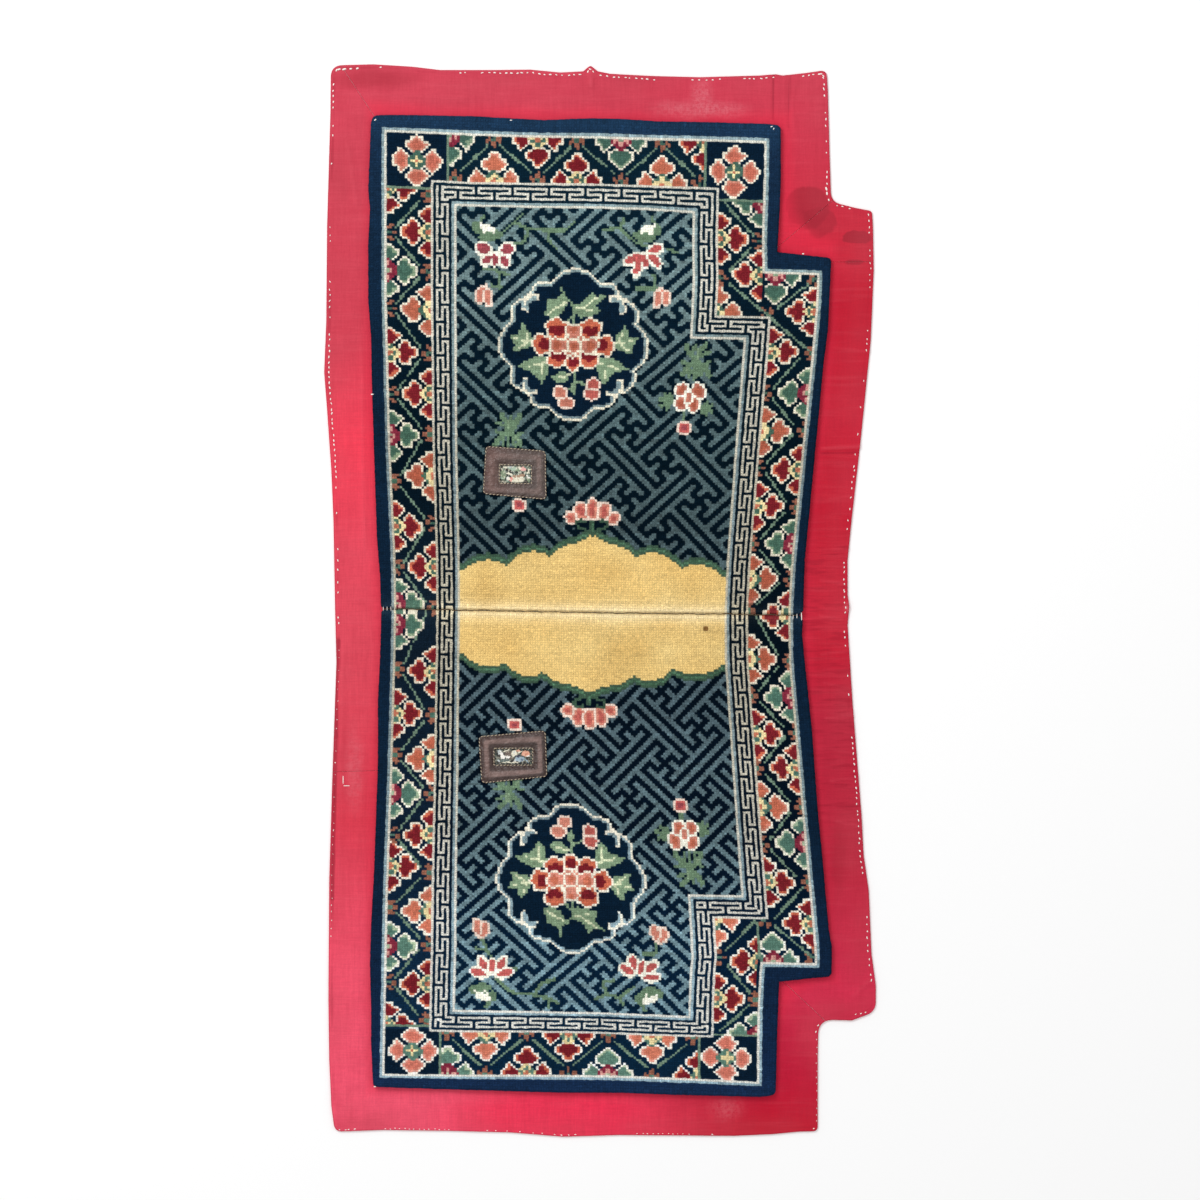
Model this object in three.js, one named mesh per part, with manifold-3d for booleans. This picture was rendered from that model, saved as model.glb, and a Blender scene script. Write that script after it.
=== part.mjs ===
// A Tibetan saddle rug, lying face up and flat: a pile panel woven in two halves that meet
// at a seam across the seat, a border of red cloth strips sewn round it, and two leather
// patches whose slots are filled with printed cotton.
// Millimetres, +Z up. +Y runs along the rug, the corner cut-outs are on the +X side.
import * as THREE from 'three';
import { mergeVertices } from 'three/addons/utils/BufferGeometryUtils.js';
import Module from 'manifold-3d';

// Driving dimensions
const pieceGap = 0.3;             // air left between two pieces that touch
const clothThickness = 2.0;       // red cloth with its turned hem
const pileTop = 9.5;              // woven foundation and pile together
const pileLap = 9.0;              // width of the pile's rim that lies over the cloth
const pileShoulder = 2.2;         // how far the clipped pile leans back at its rim
const seamGrooveWidth = 5.0;      // the pile parts along the seam of the two halves
const seamGrooveFloor = 1.6;
const seamGrooveDepth = 2.4;
const patchPocketFloor = 8.0;     // pile pressed down under a leather patch
const slotClothThickness = 1.0;
const slotClothMargin = 5.5;      // printed cotton caught under the leather on each side
const patchFit = 0.6;             // pile standing clear of a patch's outer edge
const cornerSteps = 4;            // straight pieces in each rounded corner

const table = (columns, rows) => rows.map(
  (row) => Object.fromEntries(columns.map((column, i) => [column, row[i] ?? 0])),
);
const stations = (...rows) => table(['x', 'y', 'round'], rows);

// The cloth's outer edge, anticlockwise from the upper left corner
const clothLeftEdge = stations(
  [-319.5, 635.5, 14], [-320, 581.5], [-324, 445.5], [-325, 332.5], [-327.5, 271],
  [-324, 226], [-319, 155], [-316.5, 95.5], [-314.5, -11.5], [-313, -73], [-318, -215.5],
  [-321.5, -331.5], [-322.5, -474], [-321.5, -545], [-319, -600],
);
const clothBottomEdge = stations(
  [-315, -630.5, 9], [-257.5, -628.5], [-180.5, -629.5], [-105.5, -631.5], [-44, -636.5],
  [22.5, -634.5], [159, -635.5], [204, -633.5], [237, -630.5],
);
const clothRightEdge = stations(
  [258.5, -630, 6], [258.5, -542.5], [259.5, -497.5, 18], [299, -498.5], [327.5, -488, 12],
  [327.5, -457], [322.5, -420.5], [319, -343.5], [313, -302], [310.5, -254.5], [300, -123],
  [294, -29], [296, -7.5], [294, 8], [294, 48], [299, 98], [309.5, 190.5], [321.5, 309],
  [325, 392], [324, 445.5], [323, 462.5, 4], [302.5, 466.5], [274.5, 473.5, 12],
  [273, 516.5], [270.5, 605.5],
);
const clothTopEdge = stations(
  [269, 630, 8], [244.5, 626.5], [217, 623.5], [208.5, 625], [190, 623.5], [118.5, 621.5],
  [59.5, 623], [12, 625.5], [-2.5, 628.5], [-11.5, 635.5, 3], [-20, 628.5], [-47.5, 627],
  [-83, 630.5], [-122, 630], [-190, 630], [-223, 634], [-269, 636.8],
);
const clothOutline = [...clothLeftEdge, ...clothBottomEdge, ...clothRightEdge, ...clothTopEdge];

// The pile panel's edge, anticlockwise from the upper left corner
const pileLeftEdge = stations(
  [-271.5, 576, 10], [-273, 534.5], [-275, 487], [-273, 465.5], [-275, 421.5],
  [-275, 356.5], [-271.5, 309], [-270.5, 249.5], [-267, 143], [-264.5, 72], [-261, 30],
  [-259.5, -17], [-261, -70.5], [-263.5, -118], [-263.5, -195], [-268, -319.5],
  [-271.5, -385], [-273, -432.5], [-271.5, -485.5], [-271.5, -527],
);
const pileBottomEdge = stations(
  [-269, -577, 3], [-195.5, -579.5], [-128, -581.5], [-48.5, -584], [22.5, -584],
  [90.5, -586.5], [190.5, -589],
);
const pileRightEdge = stations(
  [208.5, -587, 8], [210, -522.5], [212.5, -452.5], [247.5, -448.5], [275, -446, 5],
  [275, -410], [271.5, -391], [263.5, -300.5], [258.5, -251], [251.5, -153.5], [243, -73],
  [240, -41], [241.5, 0.5], [243, 48], [246.5, 83.5], [256, 183], [265.5, 283],
  [270.5, 321], [273, 374], [274.5, 406.5, 5], [241, 410], [210.5, 413.5],
);
const pileTopEdge = stations(
  [212.5, 449], [214.5, 494], [214.5, 564, 6], [197, 565.5], [127, 567.5], [67.5, 568.5],
  [23.5, 571.5], [-14, 572], [-66.5, 570], [-150.5, 574.5], [-225.5, 576],
);
const pileOutline = [...pileLeftEdge, ...pileBottomEdge, ...pileRightEdge, ...pileTopEdge];

// The seam that joins the two woven halves, from left to right
const weavingSeam = table(['x', 'y'], [
  [-340, -7], [-244.5, -10], [-160, -11.5], [23.5, -15], [142.5, -16], [340, -19],
]);

// Where one strip of red cloth ends and the next begins, each from the outer edge inwards
const clothSeams = [
  table(['x', 'y'], [[-315, 647], [-245, 540]]),
  table(['x', 'y'], [[-335, -204], [-240, -201]]),
  table(['x', 'y'], [[275, -506], [196, -432]]),
  table(['x', 'y'], [[335, 402.5], [276, 402], [256, 391]]),
  table(['x', 'y'], [[281, 479], [196, 407.5]]),
];

// A point on each strip, which tells the strips apart once they are cut
const clothStrips = table(['name', 'x', 'y'], [
  ['cloth_top', 0, 600], ['cloth_left', -295, 200], ['cloth_bottom', 0, -610],
  ['cloth_right', 290, -330], ['cloth_notch', 290, 440],
]);

// Leather patches: the outer corners and the slot's corners, clockwise from the upper left,
// and how high the padded rim stands above the patch's own underside
const leatherPatches = [
  {
    place: 'upper',
    crown: 2.9,
    outer: stations([-135.5, 183.5, 5], [-139, 126.5, 5], [-63.5, 119.5, 5], [-64.5, 177.5, 5]),
    slot: stations([-118.5, 160, 2], [-118.5, 139.5, 2], [-82, 139.5, 2], [-82, 160, 2]),
  },
  {
    place: 'lower',
    crown: 4.0,
    outer: stations([-144, -161, 5], [-140.5, -217, 5], [-62.5, -209, 5], [-64.5, -154, 5]),
    slot: stations([-125, -176, 2], [-125, -194.5, 2], [-80.5, -194.5, 2], [-80.5, -176, 2]),
  },
];
// The section of a patch from its outer edge (across 0) to the slot (across 1); rise 1 is
// the crown's height
const patchSection = table(['across', 'rise'], [
  [0, 0], [0, 0.45], [0.12, 0.8], [0.45, 1], [0.8, 0.85], [1, 0.4], [1, 0],
]);

const colours = {
  pile: { color: 0x1d3350, roughness: 0.95, metalness: 0 },
  redCloth: { color: 0xcb3b56, roughness: 0.9, metalness: 0 },
  leather: { color: 0x7d655f, roughness: 0.6, metalness: 0 },
  printedCotton: { color: 0xc9c3b2, roughness: 0.9, metalness: 0 },
};

const wasm = await Module();
wasm.setup();

// Moves every edge of an outline towards its inside, keeping the edges' directions
function insetOutline(rows, inset) {
  return rows.map((row, i) => {
    const before = rows[(i + rows.length - 1) % rows.length];
    const after = rows[(i + 1) % rows.length];
    const arriving = new THREE.Vector2(row.x - before.x, row.y - before.y).normalize();
    const leaving = new THREE.Vector2(after.x - row.x, after.y - row.y).normalize();
    const inward = new THREE.Vector2(-arriving.y, arriving.x);
    const bisector = new THREE.Vector2(-leaving.y, leaving.x).add(inward).normalize();
    const reach = inset / bisector.dot(inward);
    return { ...row, x: row.x + bisector.x * reach, y: row.y + bisector.y * reach };
  });
}

// An outline as a closed shape whose corners are rounded by each row's round value
function outlineShape(rows) {
  const shape = new THREE.Shape();
  rows.forEach((row, i) => {
    const corner = new THREE.Vector2(row.x, row.y);
    const before = rows[(i + rows.length - 1) % rows.length];
    const after = rows[(i + 1) % rows.length];
    const towards = (other) => new THREE.Vector2(other.x, other.y).sub(corner).setLength(row.round);
    const start = corner.clone().add(towards(before));
    const end = corner.clone().add(towards(after));
    if (i === 0) {
      shape.moveTo(start.x, start.y);
    } else {
      shape.lineTo(start.x, start.y);
    }
    if (row.round > 0) {
      shape.quadraticCurveTo(corner.x, corner.y, end.x, end.y);
    }
  });
  return shape;
}

const outlinePoints = (rows) => outlineShape(rows).getPoints(cornerSteps);

// A closed skin over level rings with the same number of points. A stack of rings gets a
// flat cap at each end; rings that wrap return to the first one, round a hole.
function skinRings(rings, wraps = false) {
  const count = rings[0].points.length;
  const positions = rings.flatMap(({ points, z }) => points.flatMap((point) => [point.x, point.y, z]));
  const triangles = [];
  const joins = wraps ? rings.length : rings.length - 1;
  for (let ring = 0; ring < joins; ring += 1) {
    const low = ring * count;
    const high = ((ring + 1) % rings.length) * count;
    for (let i = 0; i < count; i += 1) {
      const next = (i + 1) % count;
      triangles.push(low + i, low + next, high + next, low + i, high + next, high + i);
    }
  }
  if (!wraps) {
    const last = (rings.length - 1) * count;
    THREE.ShapeUtils.triangulateShape(rings[0].points, []).forEach(([a, b, c]) => {
      triangles.push(a, c, b);
    });
    THREE.ShapeUtils.triangulateShape(rings[rings.length - 1].points, []).forEach(([a, b, c]) => {
      triangles.push(last + a, last + b, last + c);
    });
  }
  const geometry = new THREE.BufferGeometry();
  geometry.setAttribute('position', new THREE.Float32BufferAttribute(positions, 3));
  geometry.setIndex(triangles);
  return geometry;
}

function toSolid(geometry) {
  const bare = geometry.clone();
  bare.deleteAttribute('normal');
  bare.deleteAttribute('uv');
  const merged = mergeVertices(bare);
  return new wasm.Manifold(new wasm.Mesh({
    numProp: 3,
    vertProperties: new Float32Array(merged.attributes.position.array),
    triVerts: new Uint32Array(merged.index.array),
  }));
}

function toGeometry(solid) {
  const { vertProperties, triVerts } = solid.getMesh();
  const shared = new THREE.BufferGeometry();
  shared.setAttribute('position', new THREE.BufferAttribute(vertProperties, 3));
  shared.setIndex(new THREE.BufferAttribute(triVerts, 1));
  const geometry = shared.toNonIndexed();
  geometry.computeVertexNormals();
  return geometry;
}

// An outline given thickness between two heights
function slab(shape, bottom, top) {
  const geometry = new THREE.ExtrudeGeometry(shape, { depth: top - bottom, bevelEnabled: false });
  geometry.translate(0, 0, bottom);
  return toSolid(geometry);
}

// A straight-sided wall of the given width along a line on the plan
function wallAlong(line, width, bottom, top) {
  const walls = line.slice(1).map((end, i) => {
    const start = line[i];
    const along = new THREE.Vector2(end.x - start.x, end.y - start.y).setLength(width / 2);
    const side = new THREE.Vector2(-along.y, along.x);
    const corners = [
      new THREE.Vector2(start.x - along.x - side.x, start.y - along.y - side.y),
      new THREE.Vector2(end.x + along.x - side.x, end.y + along.y - side.y),
      new THREE.Vector2(end.x + along.x + side.x, end.y + along.y + side.y),
      new THREE.Vector2(start.x - along.x + side.x, start.y - along.y + side.y),
    ];
    return slab(new THREE.Shape(corners), bottom, top);
  });
  return walls.reduce((all, wall) => all.add(wall));
}

// The groove in the pile's top along the weaving seam, narrow below and wide above
function seamGroove() {
  const above = 1;
  const slope = (seamGrooveWidth - seamGrooveFloor) / 2 / seamGrooveDepth;
  const section = table(['side', 'z'], [
    [-seamGrooveFloor / 2, pileTop - seamGrooveDepth],
    [seamGrooveFloor / 2, pileTop - seamGrooveDepth],
    [seamGrooveWidth / 2 + above * slope, pileTop + above],
    [-seamGrooveWidth / 2 - above * slope, pileTop + above],
  ]);
  const sides = section.length;
  const positions = weavingSeam.flatMap(({ x, y }) => section.flatMap(({ side, z }) => [x, y + side, z]));
  const triangles = [0, 2, 1, 0, 3, 2];
  for (let step = 0; step < weavingSeam.length - 1; step += 1) {
    for (let corner = 0; corner < sides; corner += 1) {
      const a = step * sides + corner;
      const b = step * sides + ((corner + 1) % sides);
      triangles.push(a, b + sides, a + sides, a, b, b + sides);
    }
  }
  const last = (weavingSeam.length - 1) * sides;
  triangles.push(last, last + 1, last + 2, last, last + 2, last + 3);
  const geometry = new THREE.BufferGeometry();
  geometry.setAttribute('position', new THREE.Float32BufferAttribute(positions, 3));
  geometry.setIndex(triangles);
  return toSolid(geometry);
}

// The whole pile panel: a foot on the ground, and a rim that lies over the cloth
function pilePanel() {
  const rimUnderside = clothThickness + pieceGap;
  const sides = table(['inset', 'z'], [
    [0, rimUnderside], [0, pileTop - pileShoulder], [pileShoulder * 0.3, pileTop - pileShoulder * 0.35],
    [pileShoulder, pileTop],
  ]);
  const rim = skinRings(sides.map(({ inset, z }) => ({
    points: outlinePoints(insetOutline(pileOutline, inset)),
    z,
  })));
  const foot = slab(outlineShape(insetOutline(pileOutline, pileLap)), 0, rimUnderside + 1);
  return toSolid(rim).add(foot);
}

// The hollows that a leather patch and its slot cloth press into the pile
function patchPocket({ outer, slot }) {
  const above = pileTop + 2;
  const clothFloor = patchPocketFloor - slotClothThickness - pieceGap;
  const leatherHollow = slab(outlineShape(insetOutline(outer, -patchFit)), patchPocketFloor, above);
  const clothHollow = slab(
    outlineShape(insetOutline(slot, -slotClothMargin - pieceGap)), clothFloor, above,
  );
  return leatherHollow.add(clothHollow);
}

function pileHalves() {
  const cutters = leatherPatches.map(patchPocket).concat(seamGroove());
  const panel = cutters.reduce((solid, cutter) => solid.subtract(cutter), pilePanel());
  const reach = 700;
  const side = (sign) => {
    const edge = weavingSeam.map(({ x, y }) => new THREE.Vector2(x, y + (sign * pieceGap) / 2));
    const corners = [
      ...edge,
      new THREE.Vector2(weavingSeam[weavingSeam.length - 1].x, sign * reach),
      new THREE.Vector2(weavingSeam[0].x, sign * reach),
    ];
    return slab(new THREE.Shape(corners), -1, pileTop + 2);
  };
  return { upper: panel.intersect(side(1)), lower: panel.intersect(side(-1)) };
}

// The red border, cut into its strips at the seams
function clothBorder() {
  const hole = outlineShape(insetOutline(pileOutline, pileLap - pieceGap));
  const ring = slab(outlineShape(clothOutline), 0, clothThickness).subtract(slab(hole, -1, clothThickness + 1));
  const cut = clothSeams.reduce(
    (solid, seam) => solid.subtract(wallAlong(seam, pieceGap, -1, clothThickness + 1)),
    ring,
  );
  const strips = cut.decompose();
  const marker = 2;
  return clothStrips.map(({ name, x, y }) => {
    const box = new THREE.BoxGeometry(marker, marker, marker).translate(x, y, clothThickness / 2);
    return { name, solid: strips.find((strip) => !strip.intersect(toSolid(box)).isEmpty()) };
  });
}

// A leather patch as a padded rim round its slot
function leatherPatch({ outer, slot, crown }) {
  const outerPoints = outlinePoints(outer);
  const slotPoints = outlinePoints(slot);
  const bottom = patchPocketFloor + pieceGap;
  return toSolid(skinRings(patchSection.map(({ across, rise }) => ({
    points: outerPoints.map((point, i) => point.clone().lerp(slotPoints[i], across)),
    z: bottom + rise * crown,
  })), true));
}

function slotCloth({ slot }) {
  return slab(
    outlineShape(insetOutline(slot, -slotClothMargin)),
    patchPocketFloor - slotClothThickness,
    patchPocketFloor,
  );
}

function namedMesh(name, solid, finish) {
  const mesh = new THREE.Mesh(toGeometry(solid), new THREE.MeshStandardMaterial(finish));
  mesh.name = name;
  return mesh;
}

const group = new THREE.Group();
const halves = pileHalves();
group.add(namedMesh('pile_upper', halves.upper, colours.pile));
group.add(namedMesh('pile_lower', halves.lower, colours.pile));
clothBorder().forEach(({ name, solid }) => group.add(namedMesh(name, solid, colours.redCloth)));
leatherPatches.forEach((patch) => {
  group.add(namedMesh(`leather_${patch.place}`, leatherPatch(patch), colours.leather));
  group.add(namedMesh(`slot_cloth_${patch.place}`, slotCloth(patch), colours.printedCotton));
});

// The origin is the middle of the rug's box, on the ground
const extent = new THREE.Box3().setFromObject(group);
const middle = extent.getCenter(new THREE.Vector3());
group.position.set(-middle.x, -middle.y, -extent.min.z);

export default group;
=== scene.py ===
# Tibetan saddle rug, lying flat and face up: X to the right, Y to its upper end, Z up from the ground.
import math
import bmesh
import bpy
import numpy as np
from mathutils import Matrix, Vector


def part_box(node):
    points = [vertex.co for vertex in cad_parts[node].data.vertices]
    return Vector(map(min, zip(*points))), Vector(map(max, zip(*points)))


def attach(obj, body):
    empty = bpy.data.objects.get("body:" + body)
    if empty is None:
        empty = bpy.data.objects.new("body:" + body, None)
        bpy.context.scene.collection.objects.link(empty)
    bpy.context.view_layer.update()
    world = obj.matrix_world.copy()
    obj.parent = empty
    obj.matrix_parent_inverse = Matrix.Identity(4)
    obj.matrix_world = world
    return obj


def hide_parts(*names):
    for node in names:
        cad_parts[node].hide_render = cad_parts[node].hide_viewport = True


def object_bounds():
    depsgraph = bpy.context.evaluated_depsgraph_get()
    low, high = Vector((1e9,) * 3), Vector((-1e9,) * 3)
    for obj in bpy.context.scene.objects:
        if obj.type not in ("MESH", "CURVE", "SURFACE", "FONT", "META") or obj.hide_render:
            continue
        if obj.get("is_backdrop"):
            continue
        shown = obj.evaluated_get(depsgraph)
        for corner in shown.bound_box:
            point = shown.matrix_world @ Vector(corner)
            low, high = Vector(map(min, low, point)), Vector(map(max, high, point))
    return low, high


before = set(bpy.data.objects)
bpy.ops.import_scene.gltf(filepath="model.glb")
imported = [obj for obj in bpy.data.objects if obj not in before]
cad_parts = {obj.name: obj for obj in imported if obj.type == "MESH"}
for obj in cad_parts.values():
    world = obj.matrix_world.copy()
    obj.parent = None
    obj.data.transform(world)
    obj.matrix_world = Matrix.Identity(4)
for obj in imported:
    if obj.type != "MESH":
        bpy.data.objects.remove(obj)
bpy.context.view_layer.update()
mm = 0.001  # the tables below are in millimetres
bpy.ops.object.select_all(action="DESELECT")
print("frame loaded")


# Camera, floor and light, in metres and watts
view = {
    "height": 6.0,  # camera above the ground
    "span": 1.4232,  # width and height that the picture takes in, at the pile
    "pile": 0.009,
    "sensor": 36,
    "centre": (0.0, 0.0006),
    "floorSize": 9.0,
    "dome": 0.8,
    "lamp": 56.0,
    "lampSize": 1.6,
    "lampPlace": (-1.6, 1.9, 2.6),
}


def setStage():
    x, y = view["centre"]
    bpy.ops.object.camera_add(location=(x, y, view["height"]), rotation=(0, 0, 0))
    camera = bpy.context.object
    camera.data.sensor_width = view["sensor"]
    camera.data.lens = view["sensor"] * (view["height"] - view["pile"]) / view["span"]
    camera.data.clip_end = 50
    bpy.context.scene.camera = camera
    bpy.ops.mesh.primitive_plane_add(size=view["floorSize"], location=(0, 0, 0))
    floor = bpy.context.object
    floor.name = "floor"
    floor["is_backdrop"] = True
    bpy.ops.object.light_add(type="AREA", location=view["lampPlace"])
    lamp = bpy.context.object
    lamp.data.shape = "DISK"
    lamp.data.size = view["lampSize"]
    lamp.data.energy = view["lamp"]
    lamp.rotation_euler = (Vector((0, 0, 0)) - lamp.location).to_track_quat("-Z", "Y").to_euler()
    world = bpy.data.worlds.new("softbox")
    bpy.context.scene.world = world
    world.use_nodes = True
    sky = world.node_tree.nodes["Background"]
    sky.inputs["Color"].default_value = (1, 1, 1, 1)
    sky.inputs["Strength"].default_value = view["dome"]
    bpy.context.scene.view_settings.view_transform = "Standard"
    return floor


floor = setStage()


# Shader helpers
def linear(colour):  # 0 to 255, as seen, to the linear values that shaders take
    c = np.array(colour, float) / 255
    return np.where(c <= 0.04045, c / 12.92, ((c + 0.055) / 1.055) ** 2.4)


def rgba(colour):
    return (*linear(colour), 1.0)


class Wire:  # a shader socket that can be written into sums
    def __init__(self, finish, socket):
        self.finish = finish
        self.socket = socket

    def maths(self, operation, a, b):
        return self.finish.node("ShaderNodeMath", {"operation": operation}, {0: a, 1: b})

    def __add__(self, other):
        return self.maths("ADD", self, other)

    def __sub__(self, other):
        return self.maths("SUBTRACT", self, other)

    def __mul__(self, other):
        return self.maths("MULTIPLY", self, other)


class Finish:  # a material and its nodes
    def __init__(self, name, **fixed):
        self.material = bpy.data.materials.new(name)
        self.material.use_nodes = True
        self.tree = self.material.node_tree
        self.shader = self.tree.nodes["Principled BSDF"]
        for socket, value in fixed.items():
            self.shader.inputs[socket.replace("_", " ")].default_value = value

    def feed(self, socket, value):
        if isinstance(value, Wire):
            self.tree.links.new(value.socket, socket)
        else:
            socket.default_value = value

    def node(self, kind, settings=None, inputs=None, out=0):
        made = self.tree.nodes.new(kind)
        for key, value in (settings or {}).items():
            if key == "stops":  # the first and the last stand at 0 and 1
                ramp = made.color_ramp.elements
                for stop, (_, colour) in ((ramp[0], value[0]), (ramp[1], value[-1])):
                    stop.color = colour
                for place, colour in value[1:-1]:
                    ramp.new(place).color = colour
            else:
                setattr(made, key, value)
        for key, value in (inputs or {}).items():
            self.feed(made.inputs[key], value)
        return Wire(self, made.outputs[out])

    def place(self, stretch=(1, 1, 1)):
        at = self.node("ShaderNodeTexCoord", out="Object")
        return self.node("ShaderNodeMapping", None, {"Vector": at, "Scale": stretch})

    def noise(self, at, scale, detail=2.0, roughness=0.5, low=0.35, high=0.65):
        made = self.node("ShaderNodeTexNoise", None,
                         {"Vector": at, "Scale": scale, "Detail": detail, "Roughness": roughness})
        return self.node("ShaderNodeMapRange", None, {"Value": made, "From Min": low, "From Max": high})

    def between(self, value, low, high, first=0.0, last=1.0):  # a soft step
        return self.node("ShaderNodeMapRange", {"interpolation_type": "SMOOTHSTEP"},
                         {"Value": value, "From Min": low, "From Max": high, "To Min": first, "To Max": last})

    def spot(self, at, centre, size, soft=0.3, turn=0.0):  # 1 within an oval, 0 outside; in millimetres
        x, y = centre
        made = self.node("ShaderNodeMapping", {"vector_type": "TEXTURE"},
                         {"Vector": at, "Location": (x * mm, y * mm, 0),
                          "Rotation": (0, 0, math.radians(turn)),
                          "Scale": (size[0] * mm, size[1] * mm, 1)})
        far = self.node("ShaderNodeVectorMath", {"operation": "LENGTH"}, {0: made}, out="Value")
        return self.between(far, 1 + soft, 1 - soft)

    def mix(self, amount, a, b):
        return self.node("ShaderNodeMix", {"data_type": "RGBA"}, {0: amount, 6: a, 7: b}, out=2)

    def tint(self, base, *washes):  # amount and colour of each, from the first laid to the last
        for amount, colour in washes:
            base = self.mix(amount, base, rgba(colour))
        return base

    def axis(self, at, name):
        return self.node("ShaderNodeSeparateXYZ", None, {0: at}, out=name)

    def kept(self, name):
        return self.node("ShaderNodeAttribute", {"attribute_name": name}, out="Fac")

    def wandering(self, at, scale, reach):  # places shifted a little, for uneven outlines
        inputs = {"Vector": at, "Scale": scale, "Detail": 3.0}
        noise = self.node("ShaderNodeTexNoise", None, inputs, out="Color")
        shift = self.node("ShaderNodeVectorMath", {"operation": "SCALE"}, {0: noise, "Scale": reach})
        moved = self.node("ShaderNodeVectorMath", {"operation": "ADD"}, {0: at, 1: shift})
        return self.node("ShaderNodeVectorMath", {"operation": "SUBTRACT"}, {0: moved, 1: (reach / 2,) * 3})

    def bump(self, height, distance, strength=1.0, under=None):
        inputs = {"Height": height, "Distance": distance, "Strength": strength}
        if under is not None:
            inputs["Normal"] = under
        return self.node("ShaderNodeBump", None, inputs)

    def paint(self, **varying):
        for socket, value in varying.items():
            self.feed(self.shader.inputs[socket.replace("_", " ")], value)
        return self.material


floorFinish = Finish("paleFloor", Base_Color=rgba((250, 250, 250)), Roughness=0.9)
floorFinish.paint(Roughness=floorFinish.noise(floorFinish.place(), 3.0, low=0.0, high=1.0) * 0.1 + 0.8)
floor.data.materials.append(floorFinish.material)
print("stage set")


# Mesh helpers
def newPiece(name, points, faces):  # points in millimetres
    mesh = bpy.data.meshes.new(name)
    mesh.from_pydata([tuple(p * mm) for p in points], [], faces)
    mesh.update()
    piece = bpy.data.objects.new(name, mesh)
    bpy.context.scene.collection.objects.link(piece)
    return piece


def tidyMesh(mesh, merge=False, turn=False):
    work = bmesh.new()
    work.from_mesh(mesh)
    if merge:
        bmesh.ops.remove_doubles(work, verts=work.verts, dist=0.00001)
    if turn:
        bmesh.ops.recalc_face_normals(work, faces=work.faces)
    work.to_mesh(mesh)
    work.free()


def thicken(piece, thickness):  # down from its upper face
    thick = piece.modifiers.new("thickness", "SOLIDIFY")
    thick.thickness = thickness
    thick.offset = -1
    bpy.ops.object.modifier_apply(modifier=thick.name)


def keep(mesh, name, values):  # a number for each corner, which the materials read
    made = mesh.attributes.new(name, "FLOAT", "POINT")
    made.data.foreach_set("value", values.astype(np.float32))


# Outlines, anticlockwise; a third number rounds that corner
pileEdge = {
    "left": [(-271.5, 576, 10), (-273, 534.5), (-275, 487), (-273, 465.5), (-275, 421.5), (-275, 356.5),
             (-271.5, 309), (-270.5, 249.5), (-267, 143), (-264.5, 72), (-261, 30), (-259.5, -17),
             (-261, -70.5), (-263.5, -118), (-263.5, -195), (-268, -319.5), (-271.5, -385),
             (-273, -432.5), (-271.5, -485.5), (-271.5, -527)],
    "bottom": [(-269, -577, 3), (-195.5, -579.5), (-128, -581.5), (-48.5, -584), (22.5, -584),
               (90.5, -586.5), (190.5, -589)],
    "right": [(208.5, -587, 8), (210, -522.5), (212.5, -452.5), (247.5, -448.5), (275, -446, 5),
              (275, -410), (271.5, -391), (263.5, -300.5), (258.5, -251), (251.5, -153.5), (243, -73),
              (240, -41), (241.5, 0.5), (243, 48), (246.5, 83.5), (256, 183), (265.5, 283),
              (270.5, 321), (273, 374), (274.5, 406.5, 5), (241, 410), (210.5, 413.5)],
    "top": [(212.5, 449), (214.5, 494), (214.5, 564, 6), (197, 565.5), (127, 567.5), (67.5, 568.5),
            (23.5, 571.5), (-14, 572), (-66.5, 570), (-150.5, 574.5), (-225.5, 576)],
}
seamLine = [(-340, -7), (-244.5, -10), (-160, -11.5), (23.5, -15), (142.5, -16), (340, -19)]


def seamY(x):
    return np.interp(x, [p[0] for p in seamLine], [p[1] for p in seamLine])


def rounded(points, steps=5):
    loop = []
    for i, point in enumerate(points):
        here = np.array(point[:2], float)
        if len(point) < 3:
            loop.append(here)
            continue
        back = np.array(points[i - 1][:2], float) - here
        on = np.array(points[(i + 1) % len(points)][:2], float) - here
        back /= np.linalg.norm(back)
        on /= np.linalg.norm(on)
        run = point[2] / math.tan(math.acos(float(back @ on)) / 2)
        for t in np.linspace(0, 1, steps):
            loop.append(here + back * run * (1 - t) ** 2 + on * run * t ** 2)
    return np.array(loop)


def inset(loop, depth):  # depth is one number, or one for each edge
    along = np.roll(loop, -1, 0) - loop
    along /= np.linalg.norm(along, axis=1)[:, None]
    inward = np.stack([-along[:, 1], along[:, 0]], 1)
    depth = np.broadcast_to(depth, len(loop))
    reach = (inward * loop).sum(1) + depth
    before, reachBefore = np.roll(inward, 1, 0), np.roll(reach, 1)
    cross = before[:, 0] * inward[:, 1] - before[:, 1] * inward[:, 0]
    flat = np.abs(cross) < 0.01
    safe = np.where(flat, 1, cross)
    x = (reachBefore * inward[:, 1] - reach * before[:, 1]) / safe
    y = (before[:, 0] * reach - inward[:, 0] * reachBefore) / safe
    plain = loop + inward * depth[:, None]
    return np.where(flat[:, None], plain, np.stack([x, y], 1))


def nearestOn(loop, points):  # the nearest place on a closed line, and the edge that it is on
    start, end = loop, np.roll(loop, -1, 0)
    run = end - start
    t = ((points[:, None] - start[None]) * run[None]).sum(2) / (run ** 2).sum(1)[None]
    spots = start[None] + np.clip(t, 0, 1)[..., None] * run[None]
    far = ((points[:, None] - spots) ** 2).sum(2)
    edge = far.argmin(1)
    return spots[np.arange(len(points)), edge], edge


def isInside(loop, x, y):
    inside = np.zeros(np.shape(x), bool)
    for (x0, y0), (x1, y1) in zip(loop, np.roll(loop, -1, 0)):
        if y0 != y1:
            crosses = ((y0 > y) != (y1 > y)) & (x < (x1 - x0) * (y - y0) / (y1 - y0) + x0)
            inside ^= crosses
    return inside


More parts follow.
